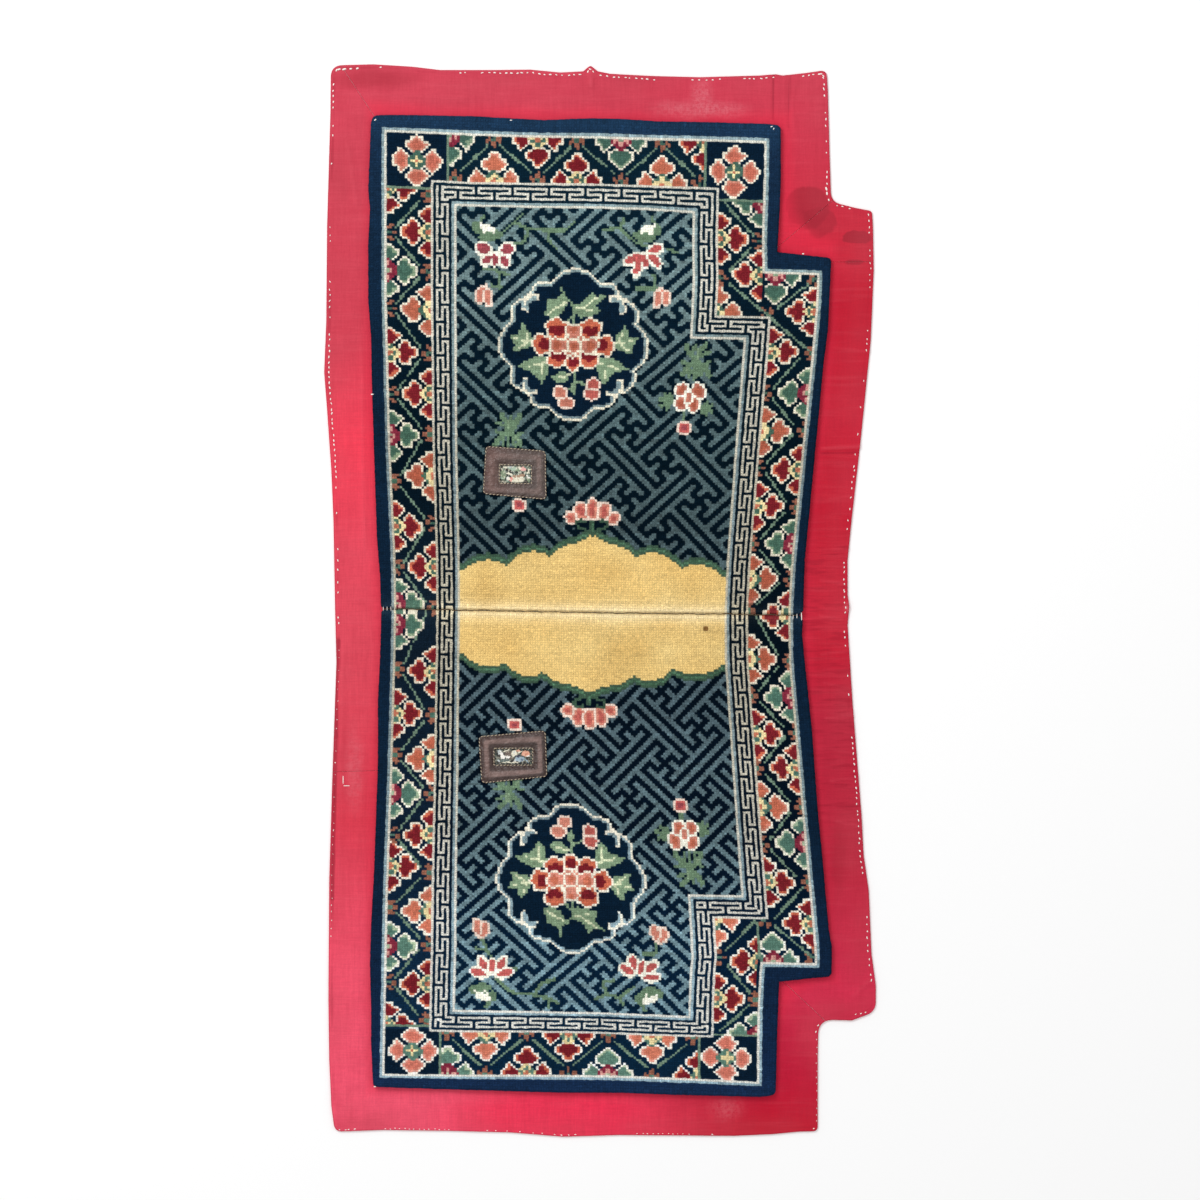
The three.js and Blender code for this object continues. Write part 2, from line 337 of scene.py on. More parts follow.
def distanceTo(loop, x, y):  # below nought inside
    points = np.stack([np.ravel(x), np.ravel(y)], 1)
    far = np.empty(len(points))
    for i in range(0, len(points), 4000):
        spots, _ = nearestOn(loop, points[i:i + 4000])
        far[i:i + 4000] = np.linalg.norm(points[i:i + 4000] - spots, axis=1)
    far = far.reshape(np.shape(x))
    return np.where(isInside(loop, x, y), -far, far)


pileLoop = rounded(pileEdge["left"] + pileEdge["bottom"] + pileEdge["right"] + pileEdge["top"])


# The weaver's grid: one cell is one knot
weave = {
    "columns": 182,
    "rows": 410,
    "seamRow": 205,
    "pileTop": 9.5,
    "tuft": 0.35,
}
knotSize = (3.036, 2.82)
rowsAcross = [-255, -154, -89, 0, 59, 119, 196, 274]  # where each row below is given
rowHeights = {
    6.5: [557, 552.5, 550.5, 549, 547, 546, 543.5, 542],
    26.5: [500.5, 495, 494, 493, 491, 489, 486, 483.5],
    35.5: [472, 468.5, 467, 466, 464, 460, 457, 454.5],
    87.5: [320.5, 318, 316.5, 314.5, 313, 311.5, 310, 307.5],
    205: [-10, -12, -13, -14.5, -15.5, -16, -17, -18],
    322.5: [-343, -345, -346, -347.5, -349, -350, -351.5, -352.5],
    374.5: [-485, -487, -488, -489.5, -492, -495, -497.5, -500],
    383.5: [-509, -511, -511, -512.5, -515, -516.5, -519, -521.5],
    403.5: [-562.5, -563.5, -563.5, -564, -566, -568.5, -572.5, -576],
}


def rowY(row, x):  # height of any row line at any place across
    topX, topY = zip(*sorted(p[:2] for p in pileEdge["top"][2:] + pileEdge["left"][:1]))
    lowX, lowY = zip(*sorted(p[:2] for p in pileEdge["bottom"] + pileEdge["right"][:1]))
    x = np.atleast_1d(x).astype(float)
    given = sorted(rowHeights)
    lines = [np.interp(x, topX, topY)]
    lines += [np.interp(x, rowsAcross, rowHeights[g]) for g in given]
    lines += [np.interp(x, lowX, lowY)]
    steps = [0] + given + [weave["rows"]]
    lines = np.array(lines)
    row = np.broadcast_to(row, np.broadcast_shapes(np.shape(row), x.shape)).astype(float)
    k = np.clip(np.searchsorted(steps, row, side="right") - 1, 0, len(steps) - 2)
    steps = np.array(steps, float)
    t = (row - steps[k]) / (steps[k + 1] - steps[k])
    column = np.arange(x.shape[-1]) * np.ones(row.shape, int)
    return lines[k, column] * (1 - t) + lines[k + 1, column] * t


# The outer cream line of the pattern down both sides, as (height, place across)
creamLines = {
    "left": [(557, -254.5), (522, -254.5), (356, -254.5), (178, -250), (48, -244), (-14, -243), (-71, -244),
             (-213, -248), (-355, -253), (-533, -256.5), (-569, -257)],
    "rightWide": [(389, 259), (356, 257.5), (303, 253), (178, 240.5), (48, 228), (-14, 224.5),
                  (-71, 225.5), (-213, 238), (-301, 246), (-385, 254), (-432, 257.5)],
    "rightUpper": [(557, 196.5), (522, 196), (433, 193.5), (389, 194.5)],
    "rightLower": [(-432, 190.5), (-474, 188.5), (-533, 187.5), (-581, 187.5)],
}
bands = {  # columns and rows of the cream lines, and the knots between them
    "left": 6, "rightWide": 173, "rightNarrow": 152, "top": 6, "bottom": 403,
    "upperStep": 59, "lowerStep": 350, "sideBorder": 18, "endBorder": 20, "stepBorder": 19, "meander": 9,
}


def knotGrid():  # corners of the knots: the columns keep to the cream lines, the rows to the given heights
    rows = np.arange(weave["rows"] + 1)
    middle = rowY(rows[:, None], np.array([-30.0]))[:, 0]

    def line(name):
        heights, places = zip(*sorted(creamLines[name]))
        return np.interp(middle, heights, places)

    def pitch(name, column):
        return (line(name) - line("left")) / (bands[column] - bands["left"])

    wide = pitch("rightWide", "rightWide")
    width = np.where(rows < bands["upperStep"], pitch("rightUpper", "rightNarrow"),
                     np.where(rows > bands["lowerStep"] + 1, pitch("rightLower", "rightNarrow"), wide))
    width = np.convolve(np.pad(width, 3, mode="edge"), np.ones(7) / 7, mode="valid")
    columns = np.arange(weave["columns"] + 1)
    x = line("left")[:, None] + width[:, None] * (columns - bands["left"] - 0.5)
    y = np.array([rowY(np.full(len(columns), r), x[r]) for r in rows])
    return x, y


knotX, knotY = knotGrid()
cellX = (knotX[1:, 1:] + knotX[:-1, :-1]) / 2
cellY = (knotY[1:, 1:] + knotY[:-1, :-1]) / 2

inks = {
    "navy": (26, 46, 72), "night": (6, 26, 40), "nightBorder": (8, 28, 46), "slate": (98, 120, 126),
    "frost": (142, 164, 170), "cream": (222, 219, 205), "rim": (242, 234, 214), "paleCream": (248, 247, 230),
    "vein": (214, 220, 184), "deepGreen": (58, 88, 78), "mossGreen": (112, 134, 112),
    "lineGreen": (112, 136, 116), "dullCoral": (146, 94, 76), "petalCore": (190, 106, 88),
    "leafGreen": (128, 152, 122), "sprigGreen": (104, 130, 104),
    "salmon": (206, 136, 117), "salmonCore": (188, 108, 84), "softSalmon": (204, 130, 112),
    "coral": (186, 110, 86),
    "rust": (198, 104, 78), "wine": (118, 32, 40), "pinkWine": (180, 92, 84), "lotusPink": (190, 94, 91),
    "berry": (156, 74, 82), "pink": (208, 152, 142), "magenta": (126, 42, 60),
    "pinkCream": (236, 214, 198), "seatGreen": (60, 84, 68), "seatLight": (74, 108, 84),
    "yellow": (232, 214, 162), "gold": (228, 194, 124), "brown": (125, 91, 50),
}
dyeAndSheenByRow = {  # strength of a dye down the rug, with the painted sheen of the leaning pile: row, and what it is multiplied by
    "slate": [(0, (1.08, 1.1, 1.08)), (70, (1.12, 1.1, 1.06)), (115, (0.86, 0.88, 0.86)),
              (165, (0.74, 0.75, 0.74)), (245, (0.8, 0.81, 0.83)), (295, (0.96, 0.97, 0.97)),
              (345, (1.18, 1.2, 1.22)), (410, (1.2, 1.24, 1.28))],
    "frost": [(0, (1, 1, 1)), (70, (0.96, 0.96, 0.93)), (130, (0.8, 0.8, 0.8)), (205, (0.96, 0.92, 0.9)),
              (280, (0.86, 0.86, 0.86)), (345, (1.02, 1.04, 1.06)), (410, (1.08, 1.1, 1.14))],
    "cream": [(0, (1, 1, 1)), (90, (0.98, 0.97, 0.96)), (165, (0.86, 0.84, 0.8)), (250, (0.88, 0.86, 0.82)),
              (345, (1.02, 1.02, 1.04)), (410, (1.05, 1.05, 1.07))],
    "salmon": [(0, (1, 1, 1)), (60, (0.96, 0.94, 0.94)), (165, (0.88, 0.8, 0.78)), (250, (0.92, 0.86, 0.84)),
               (345, (1.1, 1.1, 1.12)), (410, (1.08, 1.12, 1.16))],
    "navy": [(0, (1.05, 1.15, 1.1)), (12, (0.85, 0.95, 0.95)), (100, (0.5, 0.72, 0.74)),
             (300, (0.5, 0.72, 0.74)), (396, (0.75, 0.86, 0.96)), (410, (0.9, 0.98, 1.06))],
    "rim": [(0, (1, 1, 1)), (130, (0.97, 0.97, 0.95)), (240, (0.96, 0.95, 0.94)), (330, (1.03, 1.04, 1.05)),
            (410, (1.04, 1.06, 1.1))],
    "deepGreen": [(0, (1.15, 1.12, 1.12)), (150, (1.2, 1.16, 1.1)), (260, (1.3, 1.25, 1.25)),
                  (410, (1.6, 1.45, 1.45))],
    "night": [(0, (1.5, 1.3, 1.2)), (70, (0.9, 1, 1)), (130, (0.5, 0.75, 0.75)), (220, (0.5, 0.55, 0.62)),
              (300, (0.6, 0.65, 0.8)), (345, (0.9, 1.1, 1.25)), (410, (1.5, 1.4, 1.45))],
}
inkNames = list(inks)
inkNumber = {name: i for i, name in enumerate(inkNames)}
dyeAndSheenByRow["salmonCore"] = dyeAndSheenByRow["petalCore"] = dyeAndSheenByRow["salmon"]
dyeAndSheenByRow["mossGreen"] = dyeAndSheenByRow["deepGreen"]


def bandDepth(steps, border):  # knots in from the outer cream line, on the scale of the side borders
    side = bands["sideBorder"]
    inBorder = np.clip(steps, 0, side - 1)
    return np.where(steps <= 0, steps, np.where(steps < border, inBorder, steps - border + side))


fretChart = ["#############.",
             "#...........#.",
             "######.######.",
             ".....#.#......",
             "######.#######"]


class Chart:
    def __init__(self):
        self.ink = np.full((weave["rows"], weave["columns"]), inkNumber["navy"])
        self.row = np.arange(weave["rows"])[:, None] * np.ones(weave["columns"], int)
        self.column = np.ones((weave["rows"], 1), int) * np.arange(weave["columns"])

    def fill(self, mask, ink):
        self.ink[mask] = inkNumber[ink]

    def layBands(self):
        side, row, column = bands["sideBorder"], self.row, self.column
        innerLine = side + bands["meander"]
        fromStep = bands["rightNarrow"] - column
        under = bandDepth(row - bands["upperStep"], bands["stepBorder"])
        over = bandDepth(bands["lowerStep"] - row, bands["stepBorder"])
        depths = {
            "left": column - bands["left"],
            "top": bandDepth(row - bands["top"], bands["endBorder"]),
            "bottom": bandDepth(bands["bottom"] - row, bands["endBorder"]),
            "right": bands["rightWide"] - column,
            "upper": np.maximum(fromStep, under),
            "lower": np.maximum(fromStep, over),
        }
        self.depth = np.array(list(depths.values())).min(0)
        self.border = (self.depth > 0) & (self.depth < side)
        self.field = self.depth > innerLine
        for mask, ink in ((self.depth > 0, "night"), (self.depth == -1, "frost"), (self.depth == 0, "cream"),
                          (self.depth == side, "cream"), (self.depth == innerLine - 1, "frost"),
                          (self.depth == innerLine, "cream")):
            self.fill(mask, ink)
        nearest = {name: d == self.depth for name, d in depths.items()}
        besideStep = (nearest["upper"] | nearest["lower"]) & (fromStep == self.depth)
        self.meander(nearest["left"] | nearest["right"] | besideStep, row)
        self.meander(nearest["top"] | nearest["bottom"], column)
        self.meander((nearest["upper"] | nearest["lower"]) & ~besideStep, column)

    def meander(self, where, along):
        charted = np.array([[c == "#" for c in line] for line in fretChart])
        lanes, repeat = charted.shape
        lane = self.depth - bands["sideBorder"] - 2
        inLane = (lane >= 0) & (lane < lanes) & where
        self.fill(inLane, "night")
        self.fill(inLane & charted[np.clip(lane, 0, lanes - 1), along % repeat], "cream")

    def layLattice(self):
        # lines of the interlocked fret, on the diagonal: (i, from j, to j) and (j, from i, to i)
        uprights = [(12, 0, 16), (10, 2, 14), (14, 2, 14), (8, 0, 2), (8, 14, 16), (16, 0, 2), (16, 14, 16),
                    (6, 4, 6), (6, 10, 12), (18, 4, 6), (18, 10, 12)]
        acrosses = [(8, 14, 30), (6, 16, 28), (10, 16, 28), (4, 14, 16), (4, 28, 30), (12, 14, 16),
                    (12, 28, 30), (2, 18, 20), (2, 24, 26), (14, 18, 20), (14, 24, 26)]
        origins = {"upper": (-7.0, 304.5), "lower": (36.0, -261.5)}  # where the repeat starts
        for half, origin in origins.items():
            inHalf = (self.row < weave["seamRow"]) == (half == "upper")
            column0, row0 = knotAt(*origin)
            du = self.column + 0.5 - column0
            dv = self.row + 0.5 - row0
            lit = np.zeros(du.shape, bool)
            for shift in (0, 10):
                i = ((du + dv) / 3 + shift) % 20
                j = ((du - dv) / 3 + shift) % 20
                turned = [(i + turnI, j + turnJ) for turnI in (0, 20) for turnJ in (0, 20, -20)]
                bars = [(u, v, bar) for u, v in turned for bar in uprights]
                bars += [(v, u, bar) for u, v in turned for bar in acrosses]
                for over, along, (at, low, high) in bars:
                    lit |= (abs(over - at) <= 0.5) & (abs(along - (low + high) / 2) <= (high - low) / 2 + 0.5)
            self.fill(self.field & inHalf & lit, "slate")


def knotAt(x, y):  # the column and row, with fractions, of a place on the rug
    row = weave["rows"] / 2
    for _ in range(4):
        heights = rowY(np.arange(weave["rows"] + 1)[:, None], np.array([float(x)]))[:, 0]
        row = float(np.interp(-y, -heights, np.arange(weave["rows"] + 1)))
    across = knotX[min(int(row), weave["rows"])]
    return float(np.interp(x, across, np.arange(weave["columns"] + 1))), row


def shrunk(mask):
    core = mask.copy()
    for axis in (0, 1):
        for step in (1, -1):
            core &= np.roll(mask, step, axis)
    return core


def mirrored(rows, sideways=1, upright=1, x0=0, y0=0):  # turned over and moved
    return [(x0 + x * sideways, y0 + y * upright, *rest) for x, y, *rest in rows]


class Stamp:  # a place on the chart with its own axes, in millimetres
    def __init__(self, place, turn=0, mirror=False, within=None):
        column, row = place
        a = (chart.column + 0.5 - column) * knotSize[0]
        b = (row - chart.row - 0.5) * knotSize[1]
        c, s = math.cos(math.radians(turn)), math.sin(math.radians(turn))
        self.x = (a * c + b * s) * (-1 if mirror else 1)
        self.y = b * c - a * s
        self.within = chart.field if within is None else within

    def oval(self, x, y, across, up=None, lean=0.0, power=2):
        c, s = math.cos(math.radians(lean)), math.sin(math.radians(lean))
        u = (self.x - x) * c + (self.y - y) * s
        v = (self.y - y) * c - (self.x - x) * s
        return np.abs(u / across) ** power + np.abs(v / (up or across)) ** power <= 1

    def shape(self, points):
        return isInside(np.array(points, float), self.x, self.y)

    def line(self, points, width=3.0):
        lit = np.zeros(self.x.shape, bool)
        for (x0, y0), (x1, y1) in zip(points[:-1], points[1:]):
            dx, dy = x1 - x0, y1 - y0
            t = np.clip(((self.x - x0) * dx + (self.y - y0) * dy) / (dx * dx + dy * dy), 0, 1)
            lit |= np.hypot(self.x - x0 - t * dx, self.y - y0 - t * dy) <= width / 2
        return lit

    def ovals(self, rows):
        mask = np.zeros(self.x.shape, bool)
        for row in rows:
            mask |= self.oval(*row)
        return mask

    def lay(self, mask, *layers):  # one knot of each colour from the rim in, then the last one
        for ink in layers:
            chart.fill(mask & self.within, ink)
            mask = shrunk(mask)

    def layOvals(self, rows, *layers):  # one over the other
        for row in rows:
            self.lay(self.oval(*row), *layers)


petalLayers = {"wine": ("rim", "rust", "wine"), "salmon": ("rim", "salmon", "salmonCore"),
               "green": ("rim", "mossGreen", "deepGreen")}
flowerHearts = {  # the ground and how far out it goes, three dots, and the middle
    "wine": {"ground": (0, 1, 11.5, 14.5), "reach": 17.5, "inks": ("yellow", "deepGreen", "coral"),
             "dots": ((0, 9, 3), (-6.5, 5.5, 3), (6.5, 5.5, 3)), "middle": (0, 3.5, 3.2)},
    "salmon": {"ground": (0, 1, 11.5, 14.5), "reach": 17.5, "inks": ("deepGreen", "yellow", "coral"),
               "dots": ((0, 8, 4), (-7, 3, 4), (7, 3, 4)), "middle": (0, 2.5, 3.2)},
    "green": {"ground": (0, 0, 13, 15), "reach": 18, "inks": ("magenta", "pink", "mossGreen"),
              "dots": ((0, 6, 3), (-7.5, 3, 3), (7.5, 3, 3)), "middle": (0, 0, 3.5)},
}


def cornerFlower(place):
    s = Stamp(place, within=chart.border)
    for turn in (0, 90, 180, 270):
        p = Stamp(place, turn, within=chart.border)
        fan = p.ovals([(0, 22, 8.6), (-8, 16.5, 7.6), (8, 16.5, 7.6), (0, 12, 8)])
        p.lay(fan & (p.y > np.abs(p.x) + 2.6) & (p.y > 7), "rim", "salmon", "petalCore")
    s.lay((np.abs(s.x) + np.abs(s.y) < 13.5) & s.oval(0, 0, 11.5), "deepGreen")
    s.layOvals([(0, 0, 1.6, 7.8, 0, 6), (0, 0, 7.8, 1.6, 0, 6)], "yellow")
    s.lay(s.oval(0, 0, 1.6), "coral")


def lobed(s, lobes, hearts, kind, clip=True):  # a petal of round lobes, with a darker heart
    outline, rim, core = petalLayers[kind]
    mask = s.ovals(lobes) & clip
    s.lay(mask, outline, rim)
    s.lay(s.ovals(hearts) & shrunk(mask), core)


def halfFlower(place, turn, kind, clip=True):
    s = Stamp(place, turn, within=chart.border & clip)
    across = np.abs(s.x)
    lobed(s, [(0, 30, 7.9), (-8.4, 22, 7.6), (8.4, 22, 7.6), (0, 21, 10.4)],
          [(0, 27, 5), (-6.4, 21.5, 4.8), (6.4, 21.5, 4.8), (0, 19.5, 6.4)], kind,
          (s.y > across + 3) & (s.y > 12))
    for side in (-1, 1):
        lobes = [(23.6, 3.6, 7.4), (17.8, 11.6, 7.2), (17, 4, 9), (17.8, -11.6, 7.2)]
        hearts = [(21.5, 2.5, 4.6), (16.5, 10, 4.2), (15, 3, 5)]
        lobed(s, mirrored(lobes, side), mirrored(hearts, side), kind,
              (across > np.abs(s.y) + 1.4) & (across > 8.5))
    heart = flowerHearts[kind]
    ground, dot, middle = heart["inks"]
    s.lay(s.oval(*heart["ground"]) & (across + s.y < heart["reach"]), ground)
    s.layOvals(heart["dots"], dot)
    s.lay(s.oval(*heart["middle"]), middle)


def ornament(place, turn, clip=True):
    s = Stamp(place, turn, within=chart.border & clip)
    s.layOvals([(-6.4, 4, 2.8, 4.4, 35), (6.4, 4, 2.8, 4.4, -35), (0, 9, 2.8, 4.4)], "dullCoral")
    s.lay(s.oval(0, 3.5, 2.6, 3.2), "deepGreen")


def greenLine(start, end, blotch=False, whole=False, width=3.0):  # places as column and row
    s = Stamp(start, within=chart.border)
    x, y = (end[0] - start[0]) * knotSize[0], (start[1] - end[1]) * knotSize[1]
    broken = np.random.default_rng(int(start[0] * 7 + start[1])).random(s.x.shape) < (0 if whole else 0.02)
    s.lay(s.line([(0, 0), (x, y)], width) & ~broken, "lineGreen")
    if blotch:
        s.lay(s.line([(x * 0.5, y * 0.5), (x * 0.6, y * 0.6)], 4.6), "lineGreen")


borderPlan = {  # columns or rows of the flowers and of the turns of the green line
    "leftIn": [(47, "wine"), (78.8, "salmon"), (114, "wine"), (148.6, "salmon"), (187, "wine"),
               (230.7, "wine"), (267.5, "salmon"), (299.3, "wine"), (331.4, "salmon"), (363.1, "wine")],
    "leftOut": [(63, "green"), (96.7, "wine"), (131.7, "green"), (170.1, "wine"),
                (248.6, "wine"), (282.1, "green"), (312.6, "wine"), (347, "green")],
    "leftTurns": [32, 47.5, 63.3, 78.5, 96.7, 114.4, 130.9, 151.1, 168.4, 187.3, 204.3, 230.2, 249.1,
                  266.2, 281.7, 299.6, 314.8, 330, 345.7, 362.6, 378.9],
    "rightIn": [(92.7, "wine"), (126.7, "salmon"), (158.7, "wine"), (189.8, "salmon"), (223.5, "salmon"),
                (254.7, "wine"), (285.1, "salmon"), (316.4, "wine")],
    "rightOut": [(75.5, "wine"), (110.1, "green"), (143, "wine"), (174.6, "green"), (205.4, "wine"),
                 (239.3, "green"), (268.7, "wine"), (299.9, "green"), (333.6, "wine")],
    "rightTurns": [93, 110.6, 125.7, 142.5, 158.8, 174.9, 189.6, 203, 224.1, 238.9, 253.7, 268.9,
                   284.9, 300.6, 316.2],
    "topIn": [(48.3, "salmon"), (80.2, "wine"), (112.9, "salmon")],
    "topOut": [(65.1, "wine"), (97, "green")],
    "topTurns": [33.3, 48.2, 65.2, 80.1, 97.2, 112.7, 127.6],
    "bottomIn": [(46.3, "salmon"), (78.5, "wine"), (111.2, "salmon")],
    "bottomOut": [(62.3, "wine"), (94, "green")],
    "bottomTurns": [31, 46.3, 62.3, 78.5, 94, 111.2, 127],
}


def zigzag(name, inner, outer, upright, startsInner, blotch=False, width=2.8):
    turns, inward = borderPlan[name], 1 if outer < inner else -1
    spots = []
    for i, along in enumerate(turns):
        onInner = (i % 2 == 0) == startsInner
        across = inner - 4.2 * inward if onInner else outer + 4.6 * inward
        spots.append((across, along) if upright else (along, across))
        base = inner if onInner else outer + 1
        place = (base, along) if upright else (along, base)
        facing = (1 if onInner else -1) * inward
        ornament(place, 90 * facing if upright else (0 if facing > 0 else 180))
    for a, b in zip(spots[:-1], spots[1:]):
        along = 1 if upright else 0
        lead = 2.2 if b[along] > a[along] else -2.2
        start, end = list(a), list(b)
        start[along] += lead
        end[along] -= lead
        greenLine(start, end, blotch, width > 3, width)


def layBorder():
    column, row = chart.column, chart.row
    for name, inner, outer, upright, inTurn, outTurn in (
            ("left", 24, 6, True, 90, -90), ("right", 155, 173, True, -90, 90),
            ("top", 26, 6, False, 0, 180), ("bottom", 383, 403, False, 180, 0)):
        for line, across, turn in (("In", inner + 0.5, inTurn), ("Out", outer + 0.5, outTurn)):
            for along, kind in borderPlan[name + line]:
                halfFlower((across, along) if upright else (along, across), turn, kind)
    zigzag("leftTurns", 24, 6, True, True)
    zigzag("rightTurns", 155, 173, True, False)
    zigzag("topTurns", 26, 6, False, True, True)
    zigzag("bottomTurns", 383, 403, False, True, width=3.6)
    halves = [  # column and row, turn, kind, and where it may go
        (6.5, 202.6, -90, "green", row < 205), (6.5, 211.4, -90, "green", row >= 205),
        (31, 7, 180, "green", column > 30), (31.5, 403.5, 0, "green", column > 28),
        (6.5, 29.5, -90, "wine", row > 29), (6.5, 381.5, -90, "wine", row < 382),
        (129.5, 6.5, 180, "wine", column < 130), (129.5, 403.5, 0, "wine", column < 129),
        (152.5, 30.5, 90, "green", row > 30), (134.5, 46, -90, "wine", True),
        (152.5, 60.8, 90, "wine", column < 152), (134.5, 78, 0, "salmon", column > 134),
        (157, 59.5, 180, "green", column > 152), (152.5, 382, 90, "green", row < 383),
        (134.5, 366, -90, "wine", True), (152.5, 350, 90, "wine", column < 151),
        (134.5, 331.5, 180, "salmon", column > 134), (157, 350.5, 0, "green", column > 151),
    ]
    for x, y, turn, kind, room in halves:
        halfFlower((x, y), turn, kind, room)
    for place, turn in (((152, 46.5), 90), ((134.5, 62.4), -90), ((173, 61), 120), ((155, 78), 40),
                        ((152, 365.8), 90), ((134.5, 348.5), -90), ((173, 348), 60), ((155, 331.5), 140)):
        ornament(place, turn)
    for start, end in (((137, 31), (148.5, 44)), ((148, 49), (139.5, 59)), ((139, 64.5), (171.5, 91.5)),
                       ((170, 63.5), (158, 74.5)), ((138, 346), (150.5, 333)), ((139, 351.5), (148.5, 363)),
                       ((148.5, 368.5), (137, 381)), ((158, 334.5), (171, 346.5)), ((158, 332), (171, 318))):
        greenLine(start, end, start[0] == 139)
    for start, end in (((152, 62), (152, 76)), ((151.3, 349), (151.3, 333)),
                       ((30.6, 6), (30.6, 27)), ((6, 29.3), (27, 29.3)),
                       ((129.6, 6), (129.6, 27)), ((132, 30.3), (153, 30.3)),
                       ((28.6, 404), (28.6, 382)), ((6, 381.7), (27, 381.7)),
                       ((129.2, 404), (129.2, 382)), ((132, 382.6), (153, 382.6))):
        greenLine(start, end, whole=True)
    corners = {(18.6, 18.3): (column < 30) & (row < 29), (140.7, 19.1): (column > 129) & (row < 30),
               (17.9, 392.6): (column < 28) & (row > 382), (140.2, 393): (column > 129) & (row > 383)}
    for place, room in corners.items():
        chart.fill(chart.border & room & (chart.ink != inkNumber["lineGreen"]), "nightBorder")
        cornerFlower(place)


def medallionEdge():  # one quarter of the lobed outline; the others mirror it
    quarter = [(0, 90), (9, 89.5), (17, 86), (22, 80.5), (27, 75.5), (36, 75.5), (46.5, 72.5), (52, 65),
               (52.5, 57), (60, 56.5), (68.5, 51.5), (75, 44), (76.5, 36), (75, 28), (78, 23.5), (85, 17),
               (89.5, 8), (90.5, 0)]
    loop = []
    for sx, sy, back in ((1, 1, False), (1, -1, True), (-1, -1, False), (-1, 1, True)):
        part = mirrored(quarter, sx, sy)
        loop += part[::-1][1:] if back else part[1:]
    return loop


def doubleBud(s, x, y, lean, ink="salmon"):
    s.layOvals([(x - 4 * side * lean, y + 6 * side, 10, 8.5) for side in (1, -1)], "pinkCream", ink)


peonyPetals = [  # ink, round lobes, heart, and the places and sides it stands at, from the back to the front
    ("wine", [(3.5, -7, 7.2), (3.5, 6.5, 7.5), (7.5, 0, 7.2), (-2, 0, 12)], [(-2, 0, 6.8), (0, 3, 4)],
     [(36, 1.5, 1), (-36, 1.5, -1)]),
    ("wine", [(-7, -3, 7.4), (7.5, -3, 7.2), (1, -7, 7), (0, 1.5, 11.6)],
     [(-5, 2, 4.8), (4, 2, 5.2), (0, 0, 4.4)], [(18, -14, 1), (-18, -14, -1)]),
    ("wine", [(-8, 3, 7.2), (7.5, 3, 7.6), (0, 7, 7.2), (0, -2, 12.4)],
     [(-4, -1, 4.8), (5, -1, 4.8), (0, -4, 5)], [(19.5, 20, 1), (-19.5, 20, -1)]),
    ("wine", [(0, -4, 8.8), (-3.6, 0, 7.6), (3.6, 0, 7.6)], [(0, -0.5, 6), (0, 4, 4.4)], [(0.2, -19, 1)]),
    ("salmon", [(0, -1, 8.8), (-3.5, 4.5, 7), (3.5, 4.5, 7)], [(0, 5, 3.8)], [(0, 15, 1)]),
    ("salmon", [(-2.4, -0.5, 9.6), (4.5, 1.5, 8.4), (2, -3.5, 8)], [(2, 0, 5)],
     [(17.5, 1, 1), (-17.5, 1, -1)]),
    ("salmon", [(0, 0, 9.4)], [(0, 0, 4.6)], [(0, 0, 1)]),
]


def peony(s):
    s.lay(s.oval(0, 3, 30, 15), "salmon")
    for kind, lobes, hearts, places in peonyPetals:
        for x, y, side in places:
            lobed(s, mirrored(lobes, side, 1, x, y), mirrored(hearts, side, 1, x, y), kind)


medallionLeaves = [  # outline, veins, and the sides it stands at
    ([(25, -15), (44, -12.5), (57, -18.5), (67, -26.5), (49, -32), (37, -46), (30.5, -35), (29, -24)],
     [[(27, -18.5), (53, -25.5)], [(37, -22), (38.5, -38)]], (1, -1)),
    ([(46, 3), (54, -5), (73, -8), (69, 0), (77, 12), (66, 12), (61, 26), (51, 14)],
     [[(46, 3.5), (70, 7.5)], [(54, 4), (66, -4.5)], [(53, 5), (57, 16)]], (1, -1)),
    ([(-1, 46), (8, 34), (21, 36), (33, 40), (26, 47), (39, 62), (26, 58), (20, 65), (13, 54)],
     [[(-1, 46), (21, 41)], [(11, 45), (28, 58)]], (1,)),
    ([(-7, 51), (-12, 40), (-24, 31), (-36, 37), (-31, 45), (-32, 55), (-19, 56), (-14, 62), (-11, 56)],
     [[(-7, 52), (-23, 43), (-31, 37)]], (1,)),
    ([(-1, -32), (-8, -43), (-19, -44), (-27, -38.5), (-16, -31)], [[(-2, -34.5), (-20, -39)]], (1,)),
    ([(1, -40), (-5, -51), (2, -60), (5, -50)], [], (1,)),
]
medallionStems = [[(0, 22), (0, 45), (-5, 51), (-14, 58), (-14.5, 69)], [(-7, 30), (0, 37)],
                  [(8, 33), (1, 40)],
                  [(1, -28), (1.5, -58)], [(1.5, -41), (14, -45), (18, -50)]]
scroll = [(57, 55), (50, 59), (42, 58), (43, 52), (50, 52), (53, 49), (53, 42), (60, 39), (62, 47)]
scrollLines = [[(60, 52.5), (52, 57), (43, 58), (42.5, 53)], [(53.5, 59), (59.5, 48), (60, 41), (55, 39.5)]]


def medallion(place, turn):  # the lower one is the upper one turned upside down
    s = Stamp(place, turn, mirror=turn == 180)
    s.lay(s.shape(medallionEdge()), "rim", "frost", "nightBorder")
    for sx, sy in ((1, 1), (1, -1), (-1, 1), (-1, -1)):
        s.lay(s.shape(mirrored(scroll, sx, sy)), "frost")
        for path in scrollLines:
            s.lay(s.line(mirrored(path, sx, sy), 2.8), "rim")
    for outline, veins, sides in medallionLeaves:
        for side in sides:
            s.lay(s.shape(mirrored(outline, side)), "leafGreen")
            for vein in veins:
                s.lay(s.line(mirrored(vein, side), 2.5), "vein")
    for path in medallionStems:
        s.lay(s.line(path, 3), "leafGreen")
    doubleBud(s, -10.5, -62, 1)
    doubleBud(s, 24.3, -51.3, -0.15, "pinkWine")
    peony(s)


